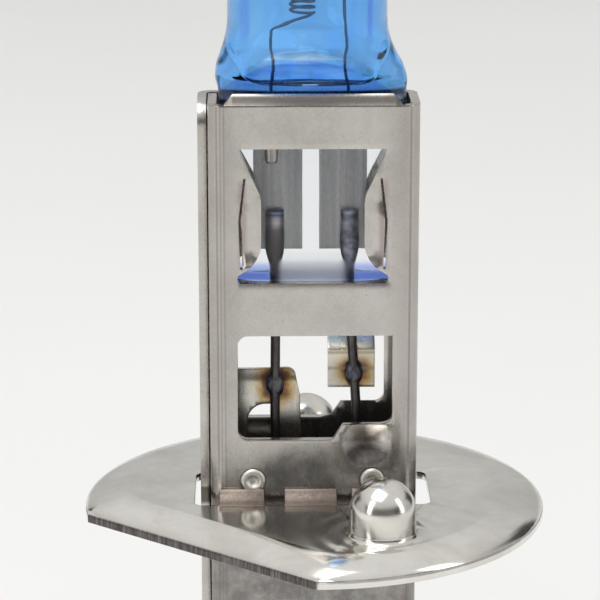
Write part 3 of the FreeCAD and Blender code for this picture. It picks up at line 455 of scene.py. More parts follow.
def sheetCopy(node, name, edgeRound, sharp=28, steps=None, reshape=None, edgeSteps=2):
    # a merged copy of a CAD solid with softly rounded edges; steps slices its faces so that
    # reshape can press and bow them
    work = bmesh.new()
    work.from_mesh(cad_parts[node].data)
    bmesh.ops.remove_doubles(work, verts=work.verts, dist=0.0004 * mm)
    bmesh.ops.dissolve_limit(work, angle_limit=math.radians(0.6), verts=work.verts,
                             edges=work.edges)
    corners = [edge for edge in work.edges if len(edge.link_faces) == 2
               and edge.calc_face_angle(0) > math.radians(sharp)]
    if edgeRound:
        bmesh.ops.bevel(work, geom=corners, offset=edgeRound * mm, segments=edgeSteps,
                        profile=0.5, affect="EDGES", clamp_overlap=True)
    for axis, pitch in (steps or {}).items():
        values = [vert.co[axis] for vert in work.verts]
        place = min(values) + pitch * mm
        while place < max(values):
            at, across = Vector(), Vector()
            at[axis], across[axis] = place, 1
            bmesh.ops.bisect_plane(work, geom=work.verts[:] + work.edges[:] + work.faces[:],
                                   plane_co=at, plane_no=across, dist=1e-8)
            place += pitch * mm
    if reshape is not None:
        for vert in work.verts:
            vert.co += reshape(vert.co / mm) * mm
    bmesh.ops.triangulate(work, faces=[face for face in work.faces if len(face.verts) > 4])
    piece = pieceFrom(work, name)
    piece.data.set_sharp_from_angle(angle=math.radians(40))
    weighted = piece.modifiers.new("evenNormals", "WEIGHTED_NORMAL")
    weighted.keep_sharp = True
    weighted.weight = 80
    return bakedPiece(piece)


def smoothStep(low, high, value):
    part = min(max((value - low) / (high - low), 0), 1)
    return part * part * (3 - 2 * part)


def newTree(name, sockets):
    tree = bpy.data.node_groups.new(name, "GeometryNodeTree")
    tree.interface.new_socket(name="Geometry", in_out="INPUT",
                              socket_type="NodeSocketGeometry")
    for label, kind, value in sockets:
        made = tree.interface.new_socket(name=label, in_out="INPUT", socket_type=kind)
        if value is not None:
            made.default_value = value
    tree.interface.new_socket(name="Geometry", in_out="OUTPUT",
                              socket_type="NodeSocketGeometry")
    return tree, tree.nodes.new("NodeGroupInput"), tree.nodes.new("NodeGroupOutput")


def finishTree(tree, start, end, geometry):
    real = addNode(tree, "GeometryNodeRealizeInstances", {"Geometry": geometry})
    smooth = addNode(tree, "GeometryNodeSetShadeSmooth", {"Geometry": real.outputs[0]})
    finish = addNode(tree, "GeometryNodeSetMaterial", {"Geometry": smooth.outputs[0],
                                                       "Material": start.outputs["Material"]})
    tree.links.new(finish.outputs[0], end.inputs[0])


def sweepRound(tree, start, curve, sides=20):
    ring = addNode(tree, "GeometryNodeCurvePrimitiveCircle",
                   {"Resolution": sides, "Radius": start.outputs["Wire Radius"]})
    return addNode(tree, "GeometryNodeCurveToMesh",
                   {"Curve": curve, "Profile Curve": ring.outputs["Curve"],
                    "Fill Caps": True}).outputs[0]


def makeCoilTree():
    # a wire wound into an upright coil on the object's origin, moved to its place
    tree, start, end = newTree("woundCoil", [
        ("Turns", "NodeSocketFloat", 16.0), ("Coil Radius", "NodeSocketFloat", 0.0006),
        ("Length", "NodeSocketFloat", 0.005), ("Wire Radius", "NodeSocketFloat", 0.00008),
        ("Place", "NodeSocketVector", None), ("Material", "NodeSocketMaterial", None)])
    spiral = addNode(tree, "GeometryNodeCurveSpiral",
                     {"Resolution": 40, "Rotations": start.outputs["Turns"],
                      "Start Radius": start.outputs["Coil Radius"],
                      "End Radius": start.outputs["Coil Radius"],
                      "Height": start.outputs["Length"]})
    moved = addNode(tree, "GeometryNodeTransform", {"Geometry": spiral.outputs[0],
                                                    "Translation": start.outputs["Place"]})
    finishTree(tree, start, end, sweepRound(tree, start, moved.outputs[0], 12))
    return tree


def makeWireTree():
    # a round wire along the object's own edges, its corners bent to one radius
    tree, start, end = newTree("bentWire", [
        ("Bend Radius", "NodeSocketFloat", 0.0003), ("Wire Radius", "NodeSocketFloat", 0.00008),
        ("Material", "NodeSocketMaterial", None)])
    line = addNode(tree, "GeometryNodeMeshToCurve", {"Mesh": start.outputs["Geometry"]})
    bends = addNode(tree, "GeometryNodeFilletCurve",
                    {"Curve": line.outputs[0], "Radius": start.outputs["Bend Radius"]},
                    mode="POLY")
    bends.inputs["Count"].default_value = 12
    bends.inputs["Limit Radius"].default_value = True
    finishTree(tree, start, end, sweepRound(tree, start, bends.outputs[0]))
    return tree


def runTree(name, tree, values, points=()):
    mesh = bpy.data.meshes.new(name)
    edges = [(place, place + 1) for place in range(len(points) - 1)]
    mesh.from_pydata([Vector(point) * mm for point in points], edges, [])
    piece = linkPiece(mesh, name)
    modifier = piece.modifiers.new(name, "NODES")
    modifier.node_group = tree
    for item in tree.interface.items_tree:
        if item.in_out == "INPUT" and item.name in values:
            modifier[item.identifier] = values[item.name]
    return bakedPiece(piece)


def joined(name, pieces):
    work = bmesh.new()
    for piece in pieces:
        work.from_mesh(piece.data)
    for piece in pieces:
        bpy.data.objects.remove(piece)
    return pieceFrom(work, name)


coilTree = makeCoilTree()
wireTree = makeWireTree()


envelope = {"tubeRadius": 4.02, "wall": 0.95, "tubeX": -0.25, "tubeStart": 25.2, "tubeEnd": 37.6,
            "tipTop": 43.2, "tipRadius": 0.85, "neck": 1.2, "pinchWide": 4.72,
            "pinchDeep": 1.30, "pinchLow": 11.30, "shoulder": 20.6, "around": 144}


def ovalRing(halfX, halfY, power, height, shift, count):
    points = []
    for step in range(count):
        angle = 2 * math.pi * step / count
        across, along = math.cos(angle), math.sin(angle)
        reach = (abs(across / halfX) ** power + abs(along / halfY) ** power) ** (-1 / power)
        points.append(Vector((shift + reach * across, reach * along, height)) * mm)
    return points


def between(stations, perGap):
    # smooth numbers between given stations, each (height, halfX, halfY, power, shift)
    rows = []
    last = len(stations) - 1
    for place in range(last):
        before, here = stations[max(place - 1, 0)], stations[place]
        after, beyond = stations[place + 1], stations[min(place + 2, last)]
        gap = after[0] - here[0]
        for step in range(perGap):
            part = step / perGap
            row = [here[0] + gap * part]
            for slot in range(1, 5):
                slopeHere = limitedSlope(before, here, after, slot)
                slopeAfter = limitedSlope(here, after, beyond, slot)
                row.append(hermite(here[slot], after[slot], slopeHere * gap,
                                   slopeAfter * gap, part))
            rows.append(row)
    return rows + [list(stations[-1])]


def limitedSlope(before, here, after, slot):
    if here is before or here is after:
        return 0
    below = (here[slot] - before[slot]) / max(here[0] - before[0], 1e-9)
    above = (after[slot] - here[slot]) / max(after[0] - here[0], 1e-9)
    if below * above <= 0:
        return 0
    return 2 * below * above / (below + above)


def hermite(first, second, slopeFirst, slopeSecond, part):
    square, cube = part * part, part ** 3
    return ((2 * cube - 3 * square + 1) * first + (cube - 2 * square + part) * slopeFirst
            + (3 * square - 2 * cube) * second + (cube - square) * slopeSecond)


def closedSkin(work, rows, count, materialIndex, inward):
    rings = [[work.verts.new(point) for point in ovalRing(row[1], row[2], row[3], row[0], row[4],
                                                          count)] for row in rows]
    poles = []
    for row, drop in ((rows[0], -1), (rows[-1], 1)):
        poles.append(work.verts.new(Vector((row[4], 0, row[0] + drop * 0.004)) * mm))
    faces = []
    for lower, upper in zip(rings, rings[1:]):
        for step in range(count):
            following = (step + 1) % count
            faces.append(work.faces.new((lower[step], lower[following], upper[following],
                                         upper[step])))
    for step in range(count):
        following = (step + 1) % count
        faces.append(work.faces.new((poles[0], rings[0][following], rings[0][step])))
        faces.append(work.faces.new((poles[1], rings[-1][step], rings[-1][following])))
    for face in faces:
        face.material_index = materialIndex
        if inward:
            face.normal_flip()


def buildEnvelope():
    size = envelope
    radius, bore = size["tubeRadius"], size["tubeRadius"] - size["wall"]
    wide, deep, low, foot = (size["pinchWide"], size["pinchDeep"], size["pinchLow"],
                             size["shoulder"])
    shift, end = size["tubeX"], size["tubeEnd"]
    outer = between([
        (low, wide - 0.62, deep - 0.55, 3.0, 0), (low + 0.06, wide - 0.38, deep - 0.33, 3.2, 0),
        (low + 0.25, wide - 0.10, deep - 0.08, 3.6, 0), (low + 0.60, wide, deep, 4.0, 0),
        (foot, wide, deep, 4.2, 0), (foot + 0.6, wide + 0.03, deep + 0.03, 4.0, 0),
        (foot + 1.15, wide + 0.12, deep + 0.25, 3.4, shift * 0.2),
        (foot + 1.8, wide + 0.02, deep + 0.90, 2.8, shift * 0.5),
        (foot + 2.5, wide - 0.28, deep + 1.68, 2.4, shift * 0.8),
        (foot + 3.25, wide - 0.55, deep + 2.38, 2.1, shift * 0.95),
        (foot + 4.0, radius + 0.02, radius - 0.04, 2.0, shift),
        (size["tubeStart"], radius, radius, 2.0, shift), (end, radius, radius, 2.0, shift)], 8)
    stop = math.acos(size["neck"] / radius)
    for step in range(1, 25):
        angle = stop * step / 24
        outer.append([end + radius * math.sin(angle), radius * math.cos(angle),
                      radius * math.cos(angle), 2.0, shift])
    neckHeight = outer[-1][0]
    tip = size["tipRadius"]
    tipCentre = size["tipTop"] - tip * 0.85
    for part in (0.15, 0.35, 0.6, 0.85, 1.0):
        narrow = tip + (size["neck"] - tip) * (1 - part) ** 2
        outer.append([neckHeight + (tipCentre - neckHeight) * part, narrow, narrow * 0.97, 2.0,
                      shift])
    for step in range(1, 10):
        angle = math.pi / 2 * step / 9.6
        outer.append([tipCentre + tip * 0.84 * math.sin(angle), tip * math.cos(angle),
                      tip * 0.97 * math.cos(angle), 2.0, shift])
    inner = between([
        (foot + 1.00, 1.10, 0.06, 2.0, shift * 0.2), (foot + 1.05, 2.35, 0.20, 2.0, shift * 0.2),
        (foot + 1.25, 2.95, 0.45, 2.0, shift * 0.3), (foot + 1.75, 3.30, 1.00, 2.0, shift * 0.5),
        (foot + 2.4, 3.35, 1.75, 2.0, shift * 0.8), (foot + 3.2, 3.22, 2.50, 2.0, shift),
        (foot + 4.2, bore + 0.02, bore - 0.06, 2.0, shift),
        (foot + 5.2, bore, bore, 2.0, shift), (end, bore, bore, 2.0, shift)], 8)
    for step in range(1, 24):
        angle = math.pi / 2 * step / 24
        inner.append([end + bore * math.sin(angle), bore * math.cos(angle),
                      bore * math.cos(angle), 2.0, shift])
    work = bmesh.new()
    closedSkin(work, outer, size["around"], 0, False)
    closedSkin(work, inner, size["around"], 1, True)
    piece = pieceFrom(work, "quartz_tube")
    piece.data.materials.append(tintedQuartz("filmedQuartz"))
    piece.data.materials.append(clearQuartz("bareQuartz"))
    settle(piece, None, "tinted_quartz", "glass_envelope")


buildEnvelope()
print("quartz envelope done")


filamentSize = {"wire": 0.16, "coilRadius": 0.60, "coilX": -0.50, "coilLow": 25.05,
                "coilLength": 5.0, "turns": 16.0, "foot": 17.4, "plane": 0.32,
                "longFoot": 18.2, "shortX": -2.06, "footHalf": 0.31, "footSheet": 0.06,
                "footLength": 1.76}


def buildFilament():
    size = filamentSize

    def paleFoot(tree, colour):
        low = spread(tree, axisOf(tree, objectPlace(tree), 2), 1.0, 0.0, 18.05, 18.25)
        return blendColour(tree, times(tree, low, 0.9), colour, (0.66, 0.58, 0.54))

    tungsten = drawnWire("tungsten", (0.10, 0.10, 0.12), (0.26, 0.26, 0.30), 0.34, grain=60.0,
                         extra=paleFoot)
    low, high = size["coilLow"], size["coilLow"] + size["coilLength"]
    side = size["coilX"] + size["coilRadius"]
    coil = runTree("coil", coilTree, {
        "Turns": size["turns"], "Coil Radius": size["coilRadius"] * mm,
        "Length": size["coilLength"] * mm, "Wire Radius": size["wire"] / 2 * mm,
        "Place": Vector((size["coilX"], 0, low)) * mm, "Material": tungsten})
    values = {"Bend Radius": 0.45 * mm, "Wire Radius": size["wire"] / 2 * mm,
              "Material": tungsten}
    shortLeg = runTree("shortLeg", wireTree, values, [
        (size["shortX"], size["plane"], size["foot"]), (size["shortX"], size["plane"], 24.12),
        (side - 0.30, -0.02, low - 0.20), (side + 0.02, 0.02, low + 0.01)])
    longLeg = runTree("longLeg", wireTree, values, [
        (side, 0, high), (side + 0.30, 0.05, high + 0.50), (1.42, 0.10, high + 0.66),
        (1.83, size["plane"], size["foot"] + 3.6), (1.88, size["plane"], size["longFoot"])])
    # the short leg's foot, rolled flat where it is welded to its foil
    rows = []
    for step in range(13):
        part = step / 12
        edge = 0.86 + 0.14 * math.sin(math.pi * min(part * 3, 0.5)) if part < 0.3 else 1
        rows.append((size["foot"] - 0.03 + size["footLength"] * part, size["footHalf"] * edge,
                     size["footSheet"], 3.0, size["shortX"]))
    work = bmesh.new()
    closedSkin(work, rows, 36, 0, False)
    bmesh.ops.translate(work, verts=work.verts, vec=(0, size["plane"] * mm, 0))
    piece = joined("filament_wire", [coil, shortLeg, longLeg, pieceFrom(work, "foot")])
    settle(piece, tungsten, "tungsten", "filament")


buildFilament()
print("filament done")


leadSize = {"wire": 0.50, "plane": 0.15, "top": 15.0, "liveX": -1.90, "liveLow": 2.2,
            "earthX": 1.90, "earthBend": 10.80, "earthSpread": 0.50, "earthLow": 3.0,
            "flatLow": 11.90, "flatHalf": 0.47}


def bowedFoil(place):
    # a faint ripple across the foil; it stays inside the quartz
    return Vector((0, 0.02 * math.sin(place.x * 2.1) * math.sin(place.z * 0.9), 0))


def buildFoils():
    foil = rolledFoil("molybdenumFoil")
    for node in ("left_foil", "right_foil"):
        piece = sheetCopy(node, node + "_sheet", 0, steps={0: 0.25, 2: 0.35},
                          reshape=bowedFoil)
        settle(piece, foil, "molybdenum_foil", node)


def flattenedEnd(name, leadX):
    # the lead's end, pressed oval against its foil, with a rounded toe
    size = leadSize
    half = size["wire"] / 2
    rows = [(size["flatLow"] - 0.10, 0.06, 0.06), (size["flatLow"] - 0.06, 0.16, 0.16),
            (size["flatLow"], half * 0.99, half * 0.99)]
    span = size["top"] - size["flatLow"]
    for step in range(1, 25):
        part = step / 24
        grow = smoothStep(0, 0.34, part) * (1 - 0.10 * smoothStep(0.5, 1.0, part))
        wobble = 0.018 * noise.noise(Vector((leadX, 0, part * 5)))
        rows.append((size["flatLow"] + span * part * 0.985,
                     half + (size["flatHalf"] - half) * grow + wobble, half))
    rows.append((size["top"] - 0.02, size["flatHalf"] * 0.80, half * 0.8))
    rows.append((size["top"], size["flatHalf"] * 0.45, half * 0.5))
    work = bmesh.new()
    closedSkin(work, [(height, wide, deep, 2.0, leadX) for height, wide, deep in rows], 40, 0,
               False)
    bmesh.ops.translate(work, verts=work.verts, vec=(0, size["plane"] * mm, 0))
    return pieceFrom(work, name)


def buildLeads():
    size = leadSize

    def pressedEnd(tree, colour):
        # burnt blue at the tip, a bright painted highlight below it, purple-grey under the quartz
        place = objectPlace(tree)
        height = axisOf(tree, place, 2)
        blotch = cloud(tree, place, 1.8, 4.0, 0.6)
        ends = ramp(tree, spread(tree, height, 0.0, 1.0, 11.8, 15.0), [
            (0.00, (0.07, 0.065, 0.075)), (0.45, (0.10, 0.085, 0.095)),
            (0.66, (0.15, 0.13, 0.14)), (0.78, (0.52, 0.48, 0.49)), (0.86, (0.38, 0.36, 0.38)),
            (0.91, (0.06, 0.07, 0.16)), (0.94, (0.30, 0.34, 0.55)), (0.97, (0.03, 0.03, 0.08))])
        bluish = ramp(tree, blotch, [(0.36, (0.09, 0.09, 0.12)), (0.50, (0.24, 0.25, 0.33)),
                                     (0.64, (0.50, 0.52, 0.62))])
        earthSide = spread(tree, axisOf(tree, place, 0), 0.0, 0.75, 0.0, 0.5)
        ends = blendColour(tree, earthSide, ends, bluish)
        inQuartz = spread(tree, height, 0.0, 1.0, 11.5, 12.0)
        return blendColour(tree, inQuartz, colour, ends)

    wire = drawnWire("leadWire", (0.055, 0.052, 0.055), (0.15, 0.145, 0.15), 0.42,
                     tint=(0.10, 0.075, 0.06), grain=14.0, extra=pressedEnd)
    values = {"Bend Radius": 1.5 * mm, "Wire Radius": size["wire"] / 2 * mm, "Material": wire}
    live = runTree("liveRun", wireTree, values, [
        (size["liveX"], size["plane"], size["flatLow"] + 0.2),
        (size["liveX"] + 0.02, size["plane"], 8.5),
        (size["liveX"] - 0.02, size["plane"], 4.0), (size["liveX"], size["plane"],
                                                     size["liveLow"])])
    end = flattenedEnd("liveEnd", size["liveX"])
    settle(joined("live_lead_wire", [live, end]), wire, "lead_wire", "live_lead")
    earth = runTree("earthRun", wireTree, values, [
        (size["earthX"], size["plane"], size["flatLow"] + 0.2),
        (size["earthX"], size["plane"], size["earthBend"]),
        (size["earthX"] + size["earthSpread"], size["plane"], size["earthLow"])])
    end = flattenedEnd("earthEnd", size["earthX"])
    settle(joined("earth_lead_wire", [earth, end]), wire, "lead_wire", "earth_lead")


def buildLeadWelds():
    fused = drawnWire("fusedMetal", (0.05, 0.05, 0.06), (0.20, 0.19, 0.19), 0.36,
                      tint=(0.09, 0.11, 0.20), grain=5.0)
    beads = {"live_lead_weld": (-1.90, 5.50, 3), "earth_lead_weld": (2.19, 6.10, 9)}
    for node, (across, height, seed) in beads.items():
        work = bmesh.new()
        bmesh.ops.create_icosphere(work, subdivisions=5, radius=1)
        for vert in work.verts:
            bump = 1 + 0.12 * noise.noise(vert.co * 2.2 + Vector((seed, 0, 0)))
            reach = Vector([vert.co[axis] * (0.45, 0.27, 0.66)[axis] for axis in range(3)])
            vert.co = (Vector((across, 0.13, height)) + reach * bump) * mm
        settle(pieceFrom(work, node + "_bead"), fused, "weld_metal", node)


buildFoils()
buildLeads()
buildLeadWelds()
print("foils and leads done")


sleeveSize = {"slit": 3.56, "strip": (12.3, 17.0), "stripIn": 0.26, "tongue": (0.74, 3.39),
              "tongueLift": 0.14, "dentX": 2.8, "dentZ": 3.0, "dentWide": 1.25,
              "dentDeep": 0.34, "wave": 0.035, "windowRight": 0.24, "rightLean": 0.13}
weldPoints = {"earth": (2.25, 0.4, 6.2), "live": (-1.9, 0.4, 5.5)}


def pressSleeve(place):
    size = sleeveSize
    push, aside, lift = 0.0, 0.0, 0.0
    facing = 1 if place.y < 0 else -1
    onWall = abs(place.y) > 1.5
    front = place.y < -1.6
    left, right = size["tongue"]
    low, high = size["strip"]
    inTongue = left < place.x < right and -0.1 < place.y < 1.9 and place.z < 8.9
    if onWall and abs(place.x) < 4.7 and not inTongue:
        # clamping strips, pressed in against the pinch between slit and window
        if abs(place.x) < size["slit"] and low < place.z < high:
            push += size["stripIn"] * (smoothStep(low, low + 0.6, place.z)
                                       * (1 - smoothStep(high - 0.9, high, place.z)))
        # press dent beside the lead window
        if front:
            away = math.hypot((place.x - size["dentX"]) / size["dentWide"],
                              (place.z - size["dentZ"]) / (size["dentWide"] * 0.9))
            push += size["dentDeep"] * math.exp(-away * away * 1.3)
    if front:
        # the front window reaches a little further right than the rear one
        beside = smoothStep(3.1, 3.8, place.x) * (1 - smoothStep(3.9, 4.5, place.x))
        beyond = smoothStep(3.2, 3.9, place.z) * (1 - smoothStep(8.85, 9.3, place.z))
        aside += size["windowRight"] * beside * beyond
    if place.x > 4.2:
        aside += size["rightLean"] * smoothStep(4.2, 5.0, place.x) * smoothStep(-2.1, -1.2, place.y)
    if inTongue and place.z < 5.6:
        lift += size["tongueLift"]
    ripple = size["wave"] * noise.noise(place * 0.33)
    return Vector((aside, facing * push + ripple * (0.6 if onWall else 0), lift))


# where the sleeve carries painted shade, a painted dark reflection, a painted highlight,
# dark lines and a straw stain: heights and places in millimetres; a line is its place, half-width
# and strength
sleeveMarks = {"darkReflection": (0.125, 0.118, 0.118), "darkReflectionLow": 2.2, "darkReflectionHigh": 3.5,
               "darkReflectionFall": 0.20, "darkening": (0.27, 0.245, 0.225), "dent": (2.62, 0, 3.15),
               "dentShade": (0.085, 0.062, 0.058), "joint": (0.085, 0.068, 0.058),
               "gapShadeLow": -0.85, "gapShadeHigh": 0.34, "lipLow": 20.62, "lipTop": 21.25,
               "lipHalf": 4.35, "drawn": (0.20, 0.16, 0.145), "creaseShade": (0.30, 0.22, 0.20),
               "lines": ((-4.84, 0.05, 0.55), (-4.66, 0.035, 0.40), (-4.47, 0.04, 0.35),
                         (4.92, 0.05, 0.60)),
               "straw": (0.80, 0.72, 0.56), "strawLow": 6.4, "strawHigh": 7.3,
               "tongueMiddle": 2.07, "tongueHalf": 1.30, "tongueLines": (7.15, 6.30),
               "tongueLine": (0.22, 0.19, 0.16)}


def lapShade(tree, colour):
    marks = sleeveMarks
    place = objectPlace(tree)
    across, deep, height = (axisOf(tree, place, axis) for axis in range(3))
    aside = sums(tree, "ABSOLUTE", across)
    inFront = spread(tree, deep, 1.0, 0.0, -1.5, -1.2)
    # painted dark reflection low on the front, its top edge sinking to the left
    leftward = sums(tree, "MINIMUM", sums(tree, "ADD", across, 0.5), 0.0)
    sunk = sums(tree, "ADD", height, times(tree, leftward, leftward, marks["darkReflectionFall"]))
    patch = spread(tree, cloud(tree, place, 0.9, 5.0, 0.7), 0.55, 1.0, 0.36, 0.60)
    darkReflection = times(tree, spread(tree, sunk, 1.0, 0.0, marks["darkReflectionLow"], marks["darkReflectionHigh"], True),
                  patch, inFront, 0.80)
    shaded = blendColour(tree, darkReflection, colour, marks["darkReflection"])
    # painted brown shade in the press dent
    away = distanceTo(tree, marks["dent"], (1, 0, 0.95))
    blotch = times(tree, spread(tree, away, 0.85, 0.0, 0.25, 1.25, True), inFront)
    shaded = blendColour(tree, blotch, shaded, marks["dentShade"])
    # painted shade at the joint with the flange, where the narrow gap falls dark
    low, high = marks["gapShadeLow"], marks["gapShadeHigh"]
    joint = times(tree, spread(tree, height, 0.0, 1.0, low, low + 0.30, True),
                  spread(tree, height, 1.0, 0.0, high - 0.22, high, True), 0.9)
    shaded = blendColour(tree, joint, shaded, marks["joint"])
    # painted shade: darker towards both sides
    darkening = times(tree, inFront, spread(tree, aside, 0.0, 0.30, 3.2, 4.9, True))
    shaded = blendColour(tree, darkening, shaded, marks["darkening"])
    # painted shade, dark below on the lips' hollow bends, and a painted highlight on the top edge
    low, half = marks["lipLow"], marks["lipHalf"]
    onLip = times(tree, spread(tree, height, 0.0, 1.0, low, low + 0.12, True),
                  spread(tree, aside, 1.0, 0.0, half, half + 0.20), 0.9)
    lipShadeAndHighlight = ramp(tree, spread(tree, height, 0.0, 1.0, low + 0.03, marks["lipTop"]), [
        (0.00, (0.14, 0.125, 0.115)), (0.40, (0.10, 0.09, 0.082)), (0.75, (0.18, 0.165, 0.15)),
        (0.95, (0.58, 0.54, 0.49))])
    shaded = blendColour(tree, onLip, shaded, lipShadeAndHighlight)
    # dark lines down the bend beside the lap; soft brown painted shade along the slits' creases
    for line, wide, part in marks["lines"]:
        mark = times(tree, within(tree, across, line, wide * 0.3, wide * 1.7, part), inFront)
        shaded = blendColour(tree, mark, shaded, marks["drawn"])
    low, high = sleeveSize["strip"]
    alongSlit = times(tree, spread(tree, height, 0.0, 1.0, low - 0.1, low + 0.4, True),
                      spread(tree, height, 1.0, 0.0, high - 0.4, high + 0.2, True))
    creaseShade = times(tree, within(tree, aside, sleeveSize["slit"], 0.06, 0.34, 0.55, True),
                   alongSlit)
    shaded = blendColour(tree, creaseShade, shaded, marks["creaseShade"])
    # a straw stain on the earth tongue, and painted shade along its two pressed lines
    half = marks["tongueHalf"]
    onTongue = times(tree, spread(tree, deep, 0.0, 1.0, -0.3, -0.2),
                     spread(tree, deep, 1.0, 0.0, 1.4, 1.6),
                     within(tree, across, marks["tongueMiddle"], half, half + 0.12),
                     spread(tree, height, 1.0, 0.0, 9.0, 9.2))
    stain = spread(tree, height, 0.0, 0.75, marks["strawLow"], marks["strawHigh"], True)
    shaded = blendColour(tree, times(tree, stain, onTongue), shaded, marks["straw"])
    for line in marks["tongueLines"]:
        mark = times(tree, within(tree, height, line, 0.03, 0.13, 0.6), onTongue)
        shaded = blendColour(tree, mark, shaded, marks["tongueLine"])
    return shaded


def buildSleeve():
    satin = satinSheet("satinSleeve", tints=[(weldPoints["earth"], 1.25)], extra=lapShade)
    piece = sheetCopy("sleeve", "sleeve_wrap", 0.045, steps={0: 0.45, 2: 0.45},
                      reshape=pressSleeve)
    settle(piece, satin, "sleeve_sheet", "sleeve")


def buildSpotWelds():
    # each button is a turned ring with a small crater, set in its press mark
    work = bmesh.new()
    low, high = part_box("spot_welds")
    radius = (high.z - low.z) / 2 / mm
    middle = (high.z + low.z) / 2 / mm
    across = high.x / mm - radius
    profile = [(0.0, 0.055), (0.16, 0.052), (0.27, 0.032), (0.36, -0.015), (0.46, -0.075),
               (0.57, -0.120), (0.68, -0.132), (0.79, -0.112), (0.88, -0.065), (0.96, 0.000),
               (1.0, 0.055)]
    count = 56
    for side in (-1, 1):
        rings = []
        for share, depth in profile[1:]:
            ring = []
            for step in range(count):
                angle = 2 * math.pi * step / count
                wobble = 1 + 0.035 * noise.noise(Vector((math.cos(angle), math.sin(angle),
                                                         side * 3)))
                reach = radius * share * wobble if share < 0.97 else radius * share
                ring.append(work.verts.new(Vector((
                    side * across + reach * math.cos(angle), low.y / mm + depth,
                    middle + reach * math.sin(angle))) * mm))
            rings.append(ring)
        centre = work.verts.new(Vector((side * across, low.y / mm + profile[0][1], middle)) * mm)
        back = work.verts.new(Vector((side * across, high.y / mm, middle)) * mm)
        for step in range(count):
            following = (step + 1) % count
            work.faces.new((centre, rings[0][step], rings[0][following]))
            for inner, outer in zip(rings, rings[1:]):
                work.faces.new((inner[step], outer[step], outer[following], inner[following]))
            work.faces.new((back, rings[-1][following], rings[-1][step]))
    bmesh.ops.recalc_face_normals(work, faces=work.faces)
    button = satinSheet("weldButton", base=(0.66, 0.63, 0.60), rougher=0.16)
    settle(pieceFrom(work, "weld_buttons"), button, "weld_metal", "spot_welds")


buildSleeve()
buildSpotWelds()
print("sleeve done")


flangeSize = {"pins": [(3.37, -7.47), (-0.13, 6.76)], "centre": (0.12, -0.74),
              "cutDistance": 9.28, "cutAngle": 229.88, "radius": 11.93, "rollWide": 2.4,
              "rollDeep": 0.82, "seatHalf": 2.18}


def buildFlange():
    size = flangeSize
    angle = math.radians(size["cutAngle"])
    normal = (math.cos(angle), math.sin(angle))
    reach = size["cutDistance"] + normal[0] * size["centre"][0] + normal[1] * size["centre"][1]
    polished = polishedSheet("polishedFlange", size["pins"],
                             {"normal": normal, "distance": reach, "centre": size["centre"],
                              "radius": size["radius"], "rollWide": size["rollWide"],
                              "rollDeep": size["rollDeep"]}, size["seatHalf"])
    piece = sheetCopy("flange_plate", "flange_disc", 0.05, sharp=32)
    settle(piece, polished, "flange_sheet", "flange_plate")


buildFlange()
print("flange done")


strapSize = {"topCurl": 0.22, "bow": 0.08}


def curlStrap(place):
    # the strap's top edge rolls back a little and its face bows round the lead
    curl = strapSize["topCurl"] * smoothStep(5.55, 6.3, place.z) ** 1.5
    bow = strapSize["bow"] * math.cos(min(abs(place.x + 2.4) / 1.9, 1) * math.pi / 2)
    rising = smoothStep(1.0, 4.0, place.z)
    return Vector((0, curl + (strapSize["bow"] - bow) * rising * 1.2, 0))


def buildLiveSide():
    strap = satinSheet("satinStrap", tints=[(weldPoints["live"], 1.35)],
                       base=(0.74, 0.71, 0.66))
    piece = sheetCopy("live_strap", "live_strap_plate", 0.04, steps={0: 0.3, 2: 0.3},
                      reshape=curlStrap)
    settle(piece, strap, "strap_sheet", "live_strap")
    plated = scratchedPlate("platedTerminal", (0.70, 0.68, 0.63), (0.52, 0.50, 0.46))
    settle(sheetCopy("blade_terminal", "blade_plate", 0.06), plated, "terminal_metal",
           "blade_terminal")
    riveted = scratchedPlate("platedRivet", (0.62, 0.60, 0.57), (0.45, 0.43, 0.41))
    settle(sheetCopy("terminal_rivet", "rivet_turned", 0.03), riveted, "rivet_metal",
           "terminal_rivet")
    ceramic = firedCeramic("firedCeramic")
    settle(sheetCopy("insulator", "insulator_block", 0.12, edgeSteps=3), ceramic,
           "insulator_ceramic", "insulator")


buildLiveSide()
print("live side done")


studio = {"floorHeight": cadBox[0].z - 0.00002, "floorHalf": 4.0, "world": 0.80,
          "lowLevel": 0.66, "cards": 0.88, "frontShade": 0.72,
          "cameraPlace": (-3.16, -130.94, 45.78), "pitch": 74.761, "yaw": -1.114, "lens": 157.8}


def buildFloor():
    mesh = bpy.data.meshes.new("floor")
    half, height = studio["floorHalf"], studio["floorHeight"]
    mesh.from_pydata([(-half, -half, height), (half, -half, height), (half, half, height),
                      (-half, half, height)], [], [(0, 1, 2, 3)])
    floor = linkPiece(mesh, "floor")
    floor.data.materials.append(palePaper("paleFloor"))


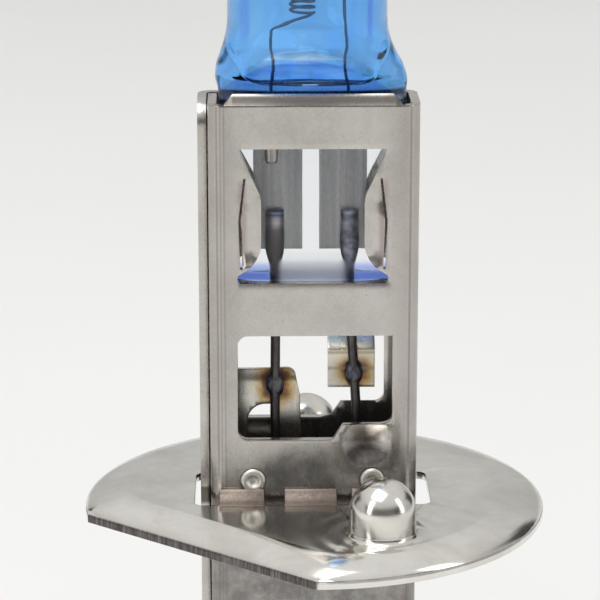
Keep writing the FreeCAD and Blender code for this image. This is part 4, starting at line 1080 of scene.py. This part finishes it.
def addSoftbox(name, place, aim, width, height, power):
    light = bpy.data.lights.new(name, "AREA")
    light.shape = "RECTANGLE"
    light.size, light.size_y = width, height
    light.energy = power
    lamp = bpy.data.objects.new(name, light)
    bpy.context.scene.collection.objects.link(lamp)
    lamp.location = place
    lamp.rotation_euler = (Vector(aim) - Vector(place)).to_track_quat("-Z", "Y").to_euler()


def buildLight():
    world = bpy.data.worlds.new("studioAir")
    bpy.context.scene.world = world
    world.use_nodes = True
    tree = world.node_tree
    # a tent lit from above, darker low in front, with dark cards standing at both sides
    way = addNode(tree, "ShaderNodeTexCoord").outputs["Generated"]
    across, deep, upward = (axisOf(tree, way, axis) for axis in range(3))
    aside = sums(tree, "ABSOLUTE", across)
    card = times(tree, spread(tree, aside, 0.0, 1.0, 0.62, 0.70, True),
                 spread(tree, aside, 1.0, 0.0, 0.86, 0.94, True),
                 spread(tree, upward, 1.0, 0.0, 0.30, 0.50, True), studio["cards"])
    front = times(tree, spread(tree, deep, 1.0, 0.0, -0.75, -0.30, True),
                  spread(tree, upward, 1.0, 0.0, 0.28, 0.55, True), studio["frontShade"])
    strength = times(tree, spread(tree, upward, studio["lowLevel"], 1.0, 0.0, 0.9, True),
                     sums(tree, "SUBTRACT", 1.0, card), sums(tree, "SUBTRACT", 1.0, front),
                     studio["world"])
    tree.links.new(strength, tree.nodes["Background"].inputs["Strength"])
    tree.nodes["Background"].inputs["Color"].default_value = (1.0, 0.995, 0.985, 1)
    addSoftbox("topBox", (-0.10, -0.12, 0.44), (0, 0, 0), 0.30, 0.28, 0.9)
    addSoftbox("leftBox", (-0.36, -0.30, 0.20), (0, 0, 0.01), 0.12, 0.40, 0.45)
    addSoftbox("rightBox", (0.40, -0.16, 0.18), (0, 0, 0.01), 0.10, 0.36, 0.3)


def buildCamera():
    camera = bpy.data.cameras.new("camera")
    camera.lens = studio["lens"]
    camera.sensor_width = 36
    camera.clip_start, camera.clip_end = 0.005, 20
    eye = bpy.data.objects.new("camera", camera)
    bpy.context.scene.collection.objects.link(eye)
    eye.location = Vector(studio["cameraPlace"]) * mm
    eye.rotation_euler = (math.radians(studio["pitch"]), 0, math.radians(studio["yaw"]))
    bpy.context.scene.camera = eye


buildFloor()
buildLight()
buildCamera()
bpy.context.scene.view_settings.view_transform = "Standard"
print("studio done")
